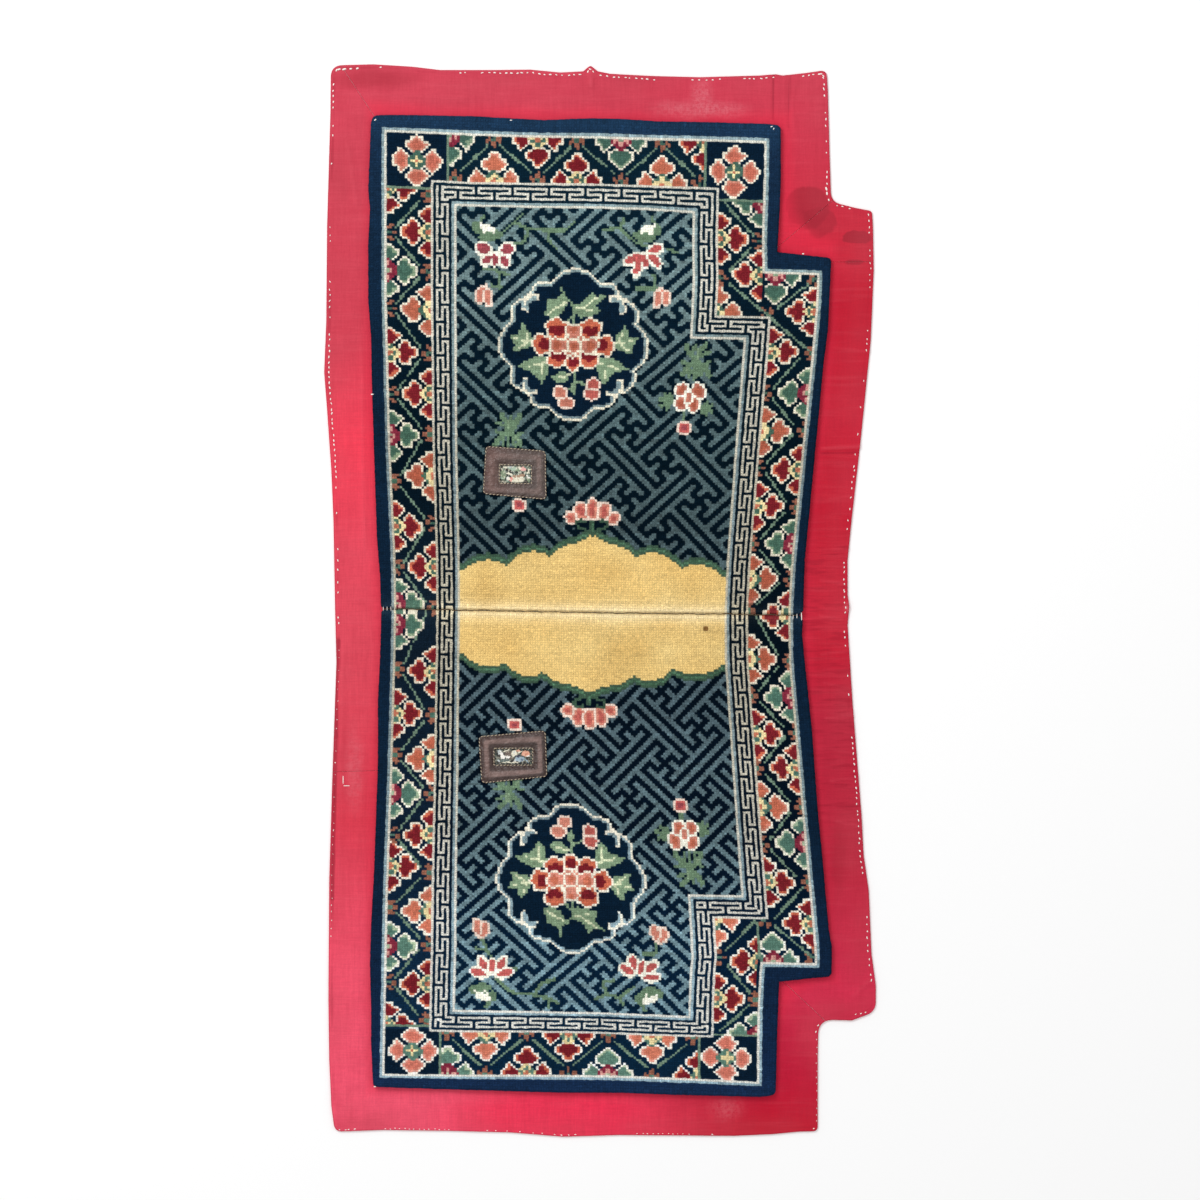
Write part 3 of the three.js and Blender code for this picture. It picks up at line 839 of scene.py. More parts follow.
def scalloped(ends, bulges):  # rows of a lobed edge for each column, from its cusps
    column = chart.column[0] + 0.5
    edge = np.interp(column, [e[0] for e in ends], [e[1] for e in ends])
    for (a, _), (b, _), (bulge, ogee) in zip(ends[:-1], ends[1:], bulges):
        t = np.clip((column - a) / (b - a), 0, 1)
        edge = edge + bulge * np.sin(np.pi * t) ** 0.7 + ogee * np.sin(2 * np.pi * t)
    return edge


def seatPanel():
    top = scalloped([(36, 188.2), (53.2, 186.4), (71.2, 182.1), (89.2, 171.6), (108.3, 181.8), (126.9, 186.4),
                     (145, 189.4)], [(-3.6, 0), (-4.3, 0), (-0.4, -1), (-0.4, 1), (-4.3, 0), (-3.4, 0)])
    low = scalloped([(36, 223.2), (52.8, 225.9), (68.8, 229.8), (88.2, 239), (107.4, 230.7), (124, 227.3),
                     (145, 225.6)], [(3.4, 0), (3.8, 0), (0.4, 1), (0.4, -1), (3.8, 0), (3.4, 0)])
    edging = 3.2  # knots of green round the gold
    middle = chart.row + 0.5
    Stamp((89.2, 205)).lay((middle > top - edging) & (middle < low + edging),
                           "seatGreen", "seatLight", "seatGreen", "gold")
    spot = Stamp((138.2, 210.9))
    spot.lay(spot.oval(0, 0, 3.2, 2.6), "brown")
    for place, turn in (((89.2, 170.5), 0), ((88.2, 240.2), 180)):
        s = Stamp(place, turn)
        s.layOvals([(-12, 8, 12, 9), (12, 8, 12, 9)], "night")
        for x, y, across, up in ((-27, 16, 8.5, 9.5), (27, 16, 8.5, 9.5), (-14, 23.5, 9.5, 12.5),
                                 (14, 23.5, 9.5, 12.5), (0, 25.5, 9.5, 14.5)):
            petal = s.oval(x, y, across, up, -x * 1.1) & (s.y > 14 - abs(x) * 0.26)
            s.lay(petal, "pinkCream", "softSalmon", "pinkWine")
        for side in (-1, 1):
            arm = [(1, 0), (9, 1.5), (18, 5), (20, 10), (14, 13), (9, 10.5)]
            s.lay(s.line(mirrored(arm, side), 3.8), "seatGreen")
        s.lay(s.line([(0, -3), (0, 9)], 6.5), "seatGreen")
        s.lay(s.line([(0, 0), (0, 8)], 3.2), "seatLight")


def fiveFlower(place, turn=0):
    s = Stamp(place, turn)
    s.lay(s.oval(0, 0, 12), "paleCream")
    s.layOvals([(-9, 8.5, 10.5, 9, 30), (11, 7, 9.5, 11.5, 20), (-8.5, -8, 9.5, 10.5, 10),
                (7, -9, 9, 10.5, -10),
                (-1, -0.5, 6.5, 9)], "paleCream", "salmon", "salmonCore")


def butterfly(place):
    s = Stamp(place)
    s.layOvals([(-13.5, 7.5, 11.5, 8.5, -20), (14.5, 7.5, 10.5, 8.5, 20), (-9.5, -5.5, 9.5, 7.5, 35),
                (10.5, -6, 8.5, 9, 30), (0, -4.5, 6, 9)], "paleCream")
    s.layOvals([(-13.5, 8, 7.8, 5.6, -15), (15, 8, 7, 5.6, 15), (-9.5, -5, 6.5, 4.2, 35),
                (10.5, -6, 4.2, 7.5, 30), (0, -4.5, 2.8, 7)], "berry")


def lotusFlower(place):
    s = Stamp(place)
    petals = ((-13, 1, 6.3, 14.3, -62), (-8, -9, 6.3, 12.8, -20), (13, 12.5, 6.8, 11.3, -70),
              (12, 0, 7.2, 11.8, 40), (0, -1, 5.5, 10, 15))
    s.layOvals(petals, "paleCream")
    s.layOvals([(x, y, across * 0.6, up * 0.74, lean) for x, y, across, up, lean in petals], "lotusPink")


def twoLobeBud(place, turn=0, mirror=False):
    s = Stamp(place, turn, mirror)
    s.lay(s.oval(-4.5, 0.5, 7, 10.5, -8) | s.shape([(-4, 11), (3, 14.5), (4, 3)]), "pinkCream", "softSalmon")
    s.lay(s.oval(4.5, -2, 6.5, 12, 10), "pinkCream", "softSalmon")


def uprightLotus(place, turn=0, lean=0):  # five pointed petals that open upwards
    s = Stamp(place, turn)
    for x, y, across, up, turned in ((-15, -5, 6.5, 11.5, 70), (15, -5, 6.5, 11.5, -70),
                                     (-10, 6, 6.5, 11.5, 38),
                                     (10, 6, 6.5, 11.5, -38), (0, 3, 6, 10, 0)):
        s.lay(s.oval(x, y, across + 0.8, up + 0.8, turned + lean), "paleCream")
        s.lay(s.oval(x * 1.02, y, across * 0.62, up * 0.76, turned + lean), "lotusPink")


def creamBud(place, turn=0, mirror=False):
    s = Stamp(place, turn, mirror)
    s.lay(s.ovals([(4, -6.5, 14, 6.5, 8), (-11, 2, 6, 7)]) | s.line([(-10, 6), (-4, 16)], 4.5), "sprigGreen")
    petals = s.oval(0, 3, 9.5, 4.2, -18) | s.line([(-7, 8), (-3, -4)]) | s.line([(7, 3), (9, -4)])
    s.lay(petals, "paleCream")


def squareBud(place):
    s = Stamp(place)
    s.lay(s.oval(0, 0, 8.6, 7.4, power=5), "pinkCream", "lotusPink", "berry")


def spray(place, turn=0, mirror=False):
    s = Stamp(place, turn, mirror)
    strokes = [[(0, 2), (-9, 11), (-13, 20)], [(1, 4), (3, 14), (10, 21)], [(-4, 12), (-2, 19)],
               [(6, 8), (15, 12)],
               [(-2, 0), (-11, -8), (-14, -15)], [(2, 0), (12, -7), (18, -16)], [(0, 4), (0, -20)],
               [(-9, -3), (-16, 0)], [(9, -2), (17, 1)], [(-5, -10), (-8, -17)], [(6, -9), (7, -16)]]
    mask = s.oval(0, 0, 0.1)
    for i, stroke in enumerate(strokes):
        mask |= s.line(stroke, 6.5 if i in (0, 1, 4, 5) else 4.2)  # four thick ones
    s.lay(mask, "sprigGreen")
    s.lay(s.line([(2, 14), (2, 5)], 3.6) | s.line([(-9, -6), (-11, -9)], 3), "leafGreen")


def sprout(place, x, y, size, lean):  # a small feathered leaf
    s = Stamp(place)
    mask = s.oval(x, y, 0.1)
    for angle, reach in ((0, 11), (38, 9), (-38, 9), (80, 6.5), (-80, 6.5), (180, 5)):
        c, n = math.cos(math.radians(lean + angle)), math.sin(math.radians(lean + angle))
        mask |= s.line([(x, y), (x + c * reach * size, y + n * reach * size)], 4.4 * size)
    s.lay(mask, "sprigGreen")


def vine(points):  # places as column and row
    column, row = points[0]
    s = Stamp(points[0])
    s.lay(s.line([((c - column) * knotSize[0], (row - r) * knotSize[1]) for c, r in points], 3.6),
          "sprigGreen")


sprigs = {  # stems and what stands on them, as the motif, its column and row, then its turn and mirroring
    "upper": {
        "vines": [[(40, 42), (43, 47), (50, 48), (56, 42), (62, 44.5), (69, 45), (70, 50), (73, 53)],
                  [(56, 42), (60, 38)], [(62, 44.5), (60, 50), (55, 51)], [(69, 45), (76, 45), (80, 41)],
                  [(44, 61), (50, 62), (55, 64)], [(50, 62), (51, 69), (47, 68)],
                  [(91, 44.5), (97, 43.5), (103, 49), (108, 51)], [(97, 43.5), (99, 39)],
                  [(110, 62), (111, 68), (103, 68)], [(120, 53), (115, 51)], [(124.5, 118), (124.5, 124)]],
        "motifs": [(creamBud, (45.7, 45.4)), (butterfly, (48.8, 55.8)), (twoLobeBud, (44.8, 72.3)),
                   (creamBud, (107.9, 44.5), 0, True), (lotusFlower, (106.5, 56.2)),
                   (twoLobeBud, (113.2, 71.5), 0, True), (spray, (127.9, 97.9)),
                   (sprout, (126.5, 113.7), -24, -4, 1.2, 165), (sprout, (126.5, 113.7), 17, -9, 1.1, -28),
                   (fiveFlower, (126, 112.8)), (squareBud, (124.9, 126)), (spray, (54.8, 129.5), 0, True),
                   (squareBud, (58.9, 160.1))],
    },
    "lower": {
        "vines": [[(49, 360), (56, 366), (65, 367), (71, 368.5), (75, 371)],
                  [(65, 367), (67, 362), (73, 360)],
                  [(71, 368.5), (70, 373)], [(43.5, 342), (46, 348), (48, 352)], [(46, 348), (41, 347)],
                  [(54, 356), (58, 356)], [(88, 369), (93, 366), (98, 367.5), (104, 362)],
                  [(93, 366), (91, 361), (96, 360)], [(98, 367.5), (100, 371)], [(112, 342), (111, 348)],
                  [(111, 348), (106, 348)], [(124, 288), (124, 292)]],
        "motifs": [(twoLobeBud, (43.5, 338.5), 180), (uprightLotus, (48, 356)), (creamBud, (44.8, 367), 180),
                   (twoLobeBud, (112.9, 339.4), 180), (uprightLotus, (105.8, 355), -14),
                   (creamBud, (109.6, 367), 180, True), (squareBud, (124, 285)), (spray, (126.5, 310.5), 180),
                   (sprout, (125.2, 297.4), -22, 1, 1.15, 170), (sprout, (125.2, 297.4), 17, 6, 1.1, 28),
                   (fiveFlower, (124.9, 297.4), 180), (spray, (54.6, 279.5), 180),
                   (squareBud, (57.2, 252.2))],
    },
}


def laySprigs():
    for half in sprigs.values():
        for path in half["vines"]:
            vine(path)
        for motif, *where in half["motifs"]:
            motif(*where)


chart = Chart()
chart.layBands()
chart.layLattice()
laySprigs()
medallion((79.7, 92.3), 0)
medallion((79.1, 316.8), 180)
seatPanel()
layBorder()
print("chart drawn")


# The pile: one little four-sided tuft for each knot, then walls, rim and foot
patches = {
    "upper": {"outer": [(-135.5, 183.5), (-139, 126.5), (-63.5, 119.5), (-64.5, 177.5)],
              "slot": [(-118.5, 160), (-118.5, 139.5), (-82, 139.5), (-82, 160)], "crown": 2.9, "puff": 0.0},
    "lower": {"outer": [(-144, -161), (-140.5, -217), (-62.5, -209), (-64.5, -154)],
              "slot": [(-125, -176), (-125, -194.5), (-80.5, -194.5), (-80.5, -176)], "crown": 4.0,
              "puff": 0.3},
}


pileRings = [  # in from the rim and from the seam, then the height at each
    (2.2, 2.5, 9.5, 9.5), (0.66, 1.5, 8.73, 8.6), (0.0, 0.8, 7.3, 7.1), (0.0, 0.15, 4.8, 7.1),
    (0.0, 0.15, 2.3, 2.3), (9.0, 0.15, 2.3, 1.2), (9.0, 0.15, 0.0, 0.0),
]
rimUnderside = 2.3
backColour = linear((120, 104, 92))


def halfOutline(upper):
    side = 1 if upper else -1
    height = side * (pileLoop[:, 1] - seamY(pileLoop[:, 0])) - 0.15
    loop, onSeam = [], []
    for i in range(len(pileLoop)):
        j = (i + 1) % len(pileLoop)
        if height[i] > 0:
            loop.append(pileLoop[i])
            onSeam.append(False)
        if height[i] * height[j] < 0:
            t = height[i] / (height[i] - height[j])
            loop.append(pileLoop[i] + t * (pileLoop[j] - pileLoop[i]))
            onSeam.append(height[i] > 0)
            if height[i] > 0:
                for x in ((-160, 23.5, 142.5) if upper else (142.5, 23.5, -160)):
                    loop.append(np.array([x, float(seamY(x)) + side * 0.15]))
                    onSeam.append(True)
    return np.array(loop), np.array(onSeam)


def clouds(draw, step):  # slow random change from place to place
    grid = draw.normal(0, 1, (weave["rows"] // step + 2, weave["columns"] // step + 2))
    for count in (weave["rows"], weave["columns"]):
        at = np.arange(count) / step
        grid = np.array([np.interp(at, np.arange(len(part)), part) for part in grid.T])
    return grid


def knotColourAndSheen():  # colour of every knot, 0 to 255, with the painted sheen of the pile
    colours = np.array([inks[name] for name in inkNames], float)[chart.ink]
    for name, lots in dyeAndSheenByRow.items():
        rows, strengths = zip(*lots)
        strength = np.array([np.interp(chart.row[:, 0], rows, part) for part in zip(*strengths)]).T
        mask = chart.ink == inkNumber[name]
        colours[mask] = (colours * strength[:, None, :])[mask]
    leftGround = (chart.ink == inkNumber["night"]) & (chart.column < bands["left"] + bands["sideBorder"])
    faded = np.interp(chart.row[:, 0], [150, 195, 340, 400], [0, 1, 0.8, 0.4])[:, None, None]
    colours += leftGround[..., None] * faded * np.array((11, 14, 17))
    # painted sheen: the pile paler along the seam of the two halves
    seamSheen = np.exp(-(np.abs(chart.row + 0.5 - weave["seamRow"]) / 3.4) ** 1.5)[..., None]
    lit = np.isin(chart.ink, [inkNumber["gold"], inkNumber["cream"]])[..., None]
    colours += (np.array((252, 236, 196)) - colours) * seamSheen * np.where(lit, 0.8, 0.08)
    draw = np.random.default_rng(11)
    calm = np.where(chart.ink == inkNumber["gold"], 0.6, 1.0)
    calm[np.isin(chart.ink, [inkNumber["slate"], inkNumber["frost"], inkNumber["seatLight"]])] = 1.8
    knots = draw.normal(0, 0.045, chart.ink.shape) * calm
    picks = draw.normal(0, 0.016, (weave["rows"], 1)) * calm
    gold = chart.ink == inkNumber["gold"]
    patchy = clouds(draw, 11) * np.where(gold, 0.03, 0.02)
    hue = np.where(gold[..., None], np.array((0.6, 1.0, 1.7)), 1.0)  # the seat goes to ochre, not to grey
    return np.clip(colours * (1 + (knots + picks)[..., None] + patchy[..., None] * hue), 0, 255)


def rimOf(quads):  # the border of the kept knots as one closed walk, and the knot at each step
    edges = {}
    for c in range(4):
        for cell, (a, b) in enumerate(zip(quads[:, c], quads[:, (c + 1) % 4])):
            edges[(int(a), int(b))] = cell
    border = {a: (b, cell) for (a, b), cell in edges.items() if (b, a) not in edges}
    walk, cells = [min(border)], []
    while len(walk) == 1 or walk[-1] != walk[0]:
        onward, cell = border[walk[-1]]
        walk.append(onward)
        cells.append(cell)
    return walk[:-1], cells


def pressed(grid, z):  # lower under a patch, and lower still under its slot
    for patch in patches.values():
        for outline, reach, height in (("outer", 0.9, 7.9), ("slot", 6.5, 6.8)):
            far = distanceTo(np.array(patch[outline], float), grid[:, 0], grid[:, 1])
            z = np.where(far < reach, np.minimum(z, height), z)
    return z


def cornerPaint(cells):  # a knot's own colour at its four corners, with a little of its neighbours', and painted shade
    seen = knotColourAndSheen()
    ownSeen, ownInk = seen[cells], chart.ink[cells]
    around = np.pad(chart.ink, 1, mode="edge")
    seen = np.pad(seen, ((1, 1), (1, 1), (0, 0)), mode="edge")
    low, left = np.nonzero(cells)
    corners = []
    for down, right in ((0, 0), (1, 0), (1, 1), (0, 1)):
        beside, above, across = [(low + 2 * a * down + (1 - a), left + 2 * b * right + (1 - b))
                                 for a, b in ((0, 1), (1, 0), (1, 1))]
        mean = (ownSeen + seen[beside] + seen[above] + seen[across]) / 4
        alike = [around[at] == ownInk for at in (beside, above, across)]
        own = np.array((0.3, 0.7, 0.9, 0.9))[sum(part.astype(int) for part in alike)]
        # a diagonal line of single knots stays whole, and the knots at its sides give way
        chained = alike[2] & ~alike[0] & ~alike[1]
        paler = ownSeen.sum(1) > (seen[beside] + seen[above]).sum(1) / 2
        own = np.where(paler, own, own + (1 - own) * 0.6)
        own = np.where(chained, np.where(paler, 1.0, 0.5), own)
        for ink, share in (("cream", 0.72), ("rim", 0.85)):
            own = np.where(ownInk == inkNumber[ink], own * share, own)
        own = own[:, None]
        corners.append(linear(ownSeen * own + mean * (1 - own)) * 0.8)  # painted shade between the tufts
    return np.array(corners), linear(ownSeen)


def pileHalf(name, upper):
    loop, onSeam = halfOutline(upper)
    rims = [inset(loop, np.where(onSeam, seam, side)) for side, seam, _, _ in pileRings]
    rows = np.arange(weave["rows"])[:, None]
    mine = (rows < weave["seamRow"]) if upper else (rows >= weave["seamRow"])
    cells = isInside(rims[0], cellX, cellY) & mine
    wide = weave["columns"] + 1
    topLeft = rows * wide + np.arange(weave["columns"])
    quads = np.stack([topLeft, topLeft + wide, topLeft + wide + 1, topLeft + 1], 2)[cells]  # anticlockwise
    walk, walkCell = rimOf(quads)
    grid = np.stack([knotX, knotY], 2).reshape(-1, 2).copy()
    draw = np.random.default_rng(5 if upper else 6)
    grid += draw.normal(0, 0.27, grid.shape)
    grid[walk], edge = nearestOn(rims[0], grid[walk])
    # corners of the rim that nearly meet become one
    remap = np.arange(len(grid))
    kept, keptCell, keptSeam = [], [], []
    for i, vertex in enumerate(walk):
        if kept and np.linalg.norm(grid[vertex] - grid[kept[-1]]) < 0.3:
            remap[vertex] = kept[-1]
            keptCell[-1] = walkCell[i]
            continue
        kept.append(vertex)
        keptCell.append(walkCell[i])
        keptSeam.append(bool(onSeam[edge[i]]))
    quads = remap[quads]
    z = np.full(len(grid), weave["pileTop"]) + draw.normal(0, 0.1, len(grid))
    z[kept] = weave["pileTop"]
    z = pressed(grid, z)
    used, flat = np.unique(quads, return_inverse=True)
    points = np.column_stack([grid[used], z[used]])
    kept = np.searchsorted(used, kept)
    quads = flat.reshape(-1, 4)
    # the tufts
    centres = points[quads].mean(1)
    lift = weave["tuft"] + draw.normal(0, 0.08, len(centres))
    centres[:, 2] += np.where(centres[:, 2] < 8.5, 0, lift)
    numbers = np.arange(len(quads))
    sides = [(c, quads[:, c] != quads[:, (c + 1) % 4]) for c in range(4)]
    faces = np.concatenate([np.column_stack([quads[:, c], quads[:, (c + 1) % 4], len(points) + numbers])[real]
                            for c, real in sides])
    faceCell = np.concatenate([numbers[real] for _, real in sides])
    faceSide = np.concatenate([np.full(real.sum(), c) for c, real in sides])
    top = points[kept][:, :2]
    points = np.concatenate([points, centres])
    # walls down to the ground, and the back
    ringNumbers = [kept]
    keptSeam = np.array(keptSeam)
    for (_, _, sideZ, seamZ), rim in zip(pileRings[1:], rims[1:]):
        spots, _ = nearestOn(rim, top)
        if sideZ > rimUnderside:
            spots = spots + draw.normal(0, 0.12, spots.shape) * (~keptSeam)[:, None]
        ringNumbers.append(len(points) + np.arange(len(kept)))
        points = np.concatenate([points, np.column_stack([spots, np.where(keptSeam, seamZ, sideZ)])])
    walls = np.concatenate([np.column_stack([a, b, np.roll(b, -1), np.roll(a, -1)])
                            for a, b in zip(ringNumbers[:-1], ringNumbers[1:])])
    piece = newPiece(name, points, faces.tolist() + walls.tolist() + [ringNumbers[-1][::-1].tolist()])
    corners, own = cornerPaint(cells)
    # each tuft: painted shade at its corners and a painted highlight at its tip
    tufts = np.stack([corners[faceSide, faceCell], corners[(faceSide + 1) % 4, faceCell],
                      own[faceCell] * 1.12], 1)
    # painted shade on the walls of the pile
    wallPaint = np.tile(own[keptCell] * 0.8, (len(pileRings) - 1, 1))
    wallPaint[4 * len(kept):] = backColour
    paint = np.concatenate([tufts.reshape(-1, 3), np.repeat(wallPaint, 4, 0),
                            np.tile(backColour, (len(kept), 1))])
    layer = piece.data.color_attributes.new("wool", "FLOAT_COLOR", "CORNER")
    layer.data.foreach_set("color", np.column_stack([paint, np.ones(len(paint))]).astype(np.float32).ravel())
    tidyMesh(piece.data, merge=True)
    print(name, len(piece.data.polygons), "faces", flush=True)
    return piece


def woolFinish():
    wool = Finish("wool", Roughness=0.95, Specular_IOR_Level=0.03)
    at = wool.place()
    knots = wool.node("ShaderNodeVertexColor", {"layer_name": "wool"})
    fibres = wool.noise(at, 900, 3, 0.6)
    cloudy = wool.noise(at, 9, 3)
    streaks = wool.noise(wool.place((14, 230, 1)), 1.0, 2)
    lit = wool.node("ShaderNodeVectorMath", {"operation": "SCALE"}, {0: knots, "Scale": 1.56})
    shade = wool.mix(fibres * 0.3 + cloudy * 0.08 + streaks * 0.06, lit, (0, 0, 0, 1))
    tips = wool.noise(at, 420, 2)
    return wool.paint(Base_Color=shade, Normal=wool.bump(fibres * 0.6 + tips, 0.001, 0.75))


woolMaterial = woolFinish()
pileUpper = pileHalf("knottedPileUpper", True)
pileLower = pileHalf("knottedPileLower", False)
for piece, node, flat, area in ((pileUpper, "pile_upper", (0.5493, 0.5933), 0.2965),
                                (pileLower, "pile_lower", (0.548, 0.5793), 0.2877)):
    piece.data.materials.append(woolMaterial)
    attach(piece, "root")
    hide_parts(node)
print("pile made")


# The red cloth
clothStrips = [  # node, piece, and flat size in metres
    ("cloth_top", "redClothTop", (0.062, 0.72)), ("cloth_notch", "redClothCutout", (0.080, 0.080)),
    ("cloth_right", "redClothRight", (0.062, 0.91)), ("cloth_bottom", "redClothBottom", (0.062, 1.01)),
    ("cloth_left", "redClothLeft", (0.062, 0.84)),
]
clothLook = {"grid": 3.0, "thickness": 2.0, "hemRound": 0.7, "narrowest": 2.6, "puff": 1.5, "ripple": 0.16}
clothEdge = {
    "left": [(-319.5, 635.5, 14), (-320, 581.5), (-324, 445.5), (-325, 332.5), (-327.5, 271), (-324, 226),
             (-319, 155), (-316.5, 95.5), (-314.5, -11.5), (-313, -73), (-318, -215.5), (-321.5, -331.5),
             (-322.5, -474), (-321.5, -545), (-319, -600)],
    "bottom": [(-315, -630.5, 9), (-257.5, -628.5), (-180.5, -629.5), (-105.5, -631.5), (-44, -636.5),
               (22.5, -634.5), (159, -635.5), (204, -633.5), (237, -630.5)],
    "right": [(258.5, -630, 6), (258.5, -542.5), (259.5, -497.5, 18), (299, -498.5), (327.5, -488, 12),
              (327.5, -457), (322.5, -420.5), (319, -343.5), (313, -302), (310.5, -254.5), (300, -123),
              (294, -29), (296, -7.5), (294, 8), (294, 48), (299, 98), (309.5, 190.5), (321.5, 309),
              (325, 392),
              (324, 445.5), (323, 462.5, 4), (302.5, 466.5), (274.5, 473.5, 12), (273, 516.5),
              (270.5, 605.5)],
    "top": [(269, 630, 8), (244.5, 626.5), (217, 623.5), (208.5, 625), (190, 623.5), (118.5, 621.5),
            (59.5, 623), (12, 625.5), (-2.5, 628.5), (-11.5, 635.5, 3), (-20, 628.5), (-47.5, 627),
            (-83, 630.5), (-122, 630), (-190, 630), (-223, 634), (-269, 636.8)],
}
clothLoop = rounded(clothEdge["left"] + clothEdge["bottom"] + clothEdge["right"] + clothEdge["top"])
clothFolds = [  # soft ridges, or hollows where below nought: from, to, width, height
    (202, 624, 201, 560, 2.6, 0.5), (206, 624, 205, 560, 2.6, -0.55), (210, 622, 209, 560, 2.6, 0.3),
    (221, 622, 219, 562, 2.6, 0.4), (225.5, 622, 223.5, 562, 2.6, -0.45), (230, 622, 228, 566, 2.6, 0.3),
    (262, 180, 316, 183, 2.4, 0.9), (264, 175, 314, 177, 2.4, -0.5), (292, -12, 298, -3, 4.0, 0.9),
    (276, 60, 294, 62, 2.4, 0.5), (262, 24, 290, 20, 2.4, 0.6), (260, -18, 288, -22, 2.4, 0.6),
    (262, -64, 292, -60, 2.6, 0.6), (266, -98, 296, -104, 2.4, 0.5), (268, -140, 300, -136, 2.6, 0.6),
    (272, -176, 303, -182, 2.4, 0.5), (274, -214, 306, -210, 2.6, 0.6), (280, -262, 309, -268, 2.6, 0.5),
    (278, 300, 319, 296, 3.0, 0.5), (272, 120, 298, 124, 2.6, 0.5), (-311, -47, -314, -160, 1.9, -0.8),
    (-314, -160, -318, -355, 1.9, -0.8), (-306, -60, -310, -330, 2.6, 0.5), (-284, 300, -280, 60, 3.0, 0.6),
    (-322, 300, -320, 220, 2.4, 0.8), (-322, 214, -316, 150, 2.4, 0.8), (-300, 540, -290, 470, 4.0, 0.5),
    (-318, -400, -300, -404, 3.0, 0.5), (-110, 628, 60, 621, 2.2, 0.7), (-230, 600, -160, 596, 5.0, 0.4),
    (20, 600, 90, 598, 5.0, 0.4), (-11, 633, -11, 612, 3.0, 1.0), (-120, -612, -20, -616, 4.0, 0.4),
    (60, -618, 150, -612, 4.0, 0.4), (-300, -600, -270, -590, 5.0, 0.6), (300, -470, 320, -450, 3.5, 0.6),
]


def clothRise(x, y):
    rise = np.full(len(x), 0.0)
    for x0, y0, x1, y1, width, height in clothFolds:
        dx, dy = x1 - x0, y1 - y0
        t = np.clip(((x - x0) * dx + (y - y0) * dy) / (dx * dx + dy * dy), 0, 1)
        far = np.hypot(x - x0 - t * dx, y - y0 - t * dy)
        rise += clothLook["puff"] * height * np.exp(-(far / max(width, clothLook["narrowest"])) ** 2)
    rise += clothLook["ripple"] * (np.sin(x / 11 + np.sin(y / 23)) * np.sin(y / 14 + 1.3 * np.sin(x / 19)))
    return rise * np.clip((distanceTo(pileLoop, x, y) - 1) / 6, 0, 1)


def clothStrip(node, name):
    piece = bpy.data.objects.new(name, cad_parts[node].data.copy())
    bpy.context.scene.collection.objects.link(piece)
    piece.data.materials.clear()
    work = bmesh.new()
    work.from_mesh(piece.data)
    bmesh.ops.remove_doubles(work, verts=work.verts, dist=0.00002)
    under = [f for f in work.faces if f.normal.z <= 0.9 or f.calc_center_median().z <= 1.5 * mm]
    bmesh.ops.delete(work, geom=under, context="FACES")
    bmesh.ops.dissolve_faces(work, faces=work.faces[:], use_verts=False)
    low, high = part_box(node)
    step = clothLook["grid"] * mm
    for axis, across in enumerate((Vector((1, 0, 0)), Vector((0, 1, 0)))):
        for k in range(1, int((high[axis] - low[axis]) / step) + 1):
            bmesh.ops.bisect_plane(work, geom=work.verts[:] + work.edges[:] + work.faces[:],
                                   plane_co=across * (low[axis] + k * step), plane_no=across, dist=0.00001)
    work.to_mesh(piece.data)
    work.free()
    bpy.context.view_layer.objects.active = piece
    piece.select_set(True)
    thicken(piece, clothLook["thickness"] * mm)
    bevel = piece.modifiers.new("hem", "BEVEL")
    bevel.width = clothLook["hemRound"] * mm
    bevel.segments = 2
    bevel.limit_method = "ANGLE"
    bevel.angle_limit = math.radians(50)
    bpy.ops.object.modifier_apply(modifier=bevel.name)
    # the folds lift the upper face, and the lower one stays on the ground
    spots = np.empty(len(piece.data.vertices) * 3, np.float32)
    piece.data.vertices.foreach_get("co", spots)
    spots = spots.reshape(-1, 3).astype(float)
    x, y = spots[:, 0] / mm, spots[:, 1] / mm
    rise = clothRise(x, y)
    spots[:, 2] += rise * mm * np.clip(spots[:, 2] / (clothLook["thickness"] * mm), 0, 1)
    piece.data.vertices.foreach_set("co", spots.astype(np.float32).ravel())
    keep(piece.data, "fold", rise)
    keep(piece.data, "hem", -distanceTo(clothLoop, x, y))
    bpy.ops.object.shade_smooth_by_angle(angle=math.radians(40))
    piece.select_set(False)
    print(name, len(piece.data.polygons), "faces", flush=True)
    return piece


clothTints = {  # height on the rug in millimetres, and the colour there: faded or darkened cloth, with painted light and shade
    "left": [(-660, (255, 92, 120)), (-600, (255, 92, 120)), (-440, (255, 90, 116)), (-260, (222, 60, 78)),
             (-50, (228, 78, 95)), (60, (234, 75, 94)), (190, (252, 65, 87)), (300, (210, 67, 84)),
             (500, (206, 70, 87)), (660, (208, 70, 89))],
    "right": [(-660, (194, 2, 26)), (-560, (194, 16, 52)), (-468, (216, 44, 78)), (-330, (184, 28, 54)),
              (-140, (184, 28, 54)), (-50, (198, 22, 46)), (356, (195, 20, 44)), (440, (204, 38, 58)),
              (546, (206, 54, 76)), (660, (206, 68, 88))],
}
stains = [  # middle, size, edge, and strength
    ((246, 466), (27, 25), 0.08, 0.72), ((262, 449), (19, 17), 0.1, 0.6), ((236, 452), (15, 14), 0.1, 0.35),
    ((305, 430.5), (17.5, 8.5), 0.1, 0.85), ((303, 401), (12, 3.4), 0.25, 0.8),
    ((-288, -622), (30, 9), 0.9, 0.25), ((-268, 620), (44, 11), 0.6, 0.5), ((-305, 505), (12, 40), 0.6, 0.2),
    ((40, 628), (60, 7), 0.6, 0.3), ((284, -300), (8, 40), 0.6, 0.3),
]
scuffs = [((121, 601), (11, 15), 0.8, 0.3), ((104, 582), (34, 9), 0.9, 0.3), ((148, 583), (22, 8), 0.9, 0.25),
          ((150, -604), (15, 12), 0.9, 0.2), ((-292, -200), (9, 40), 0.7, 0.2), ((296, -8), (6, 5), 0.6, 0.3)]


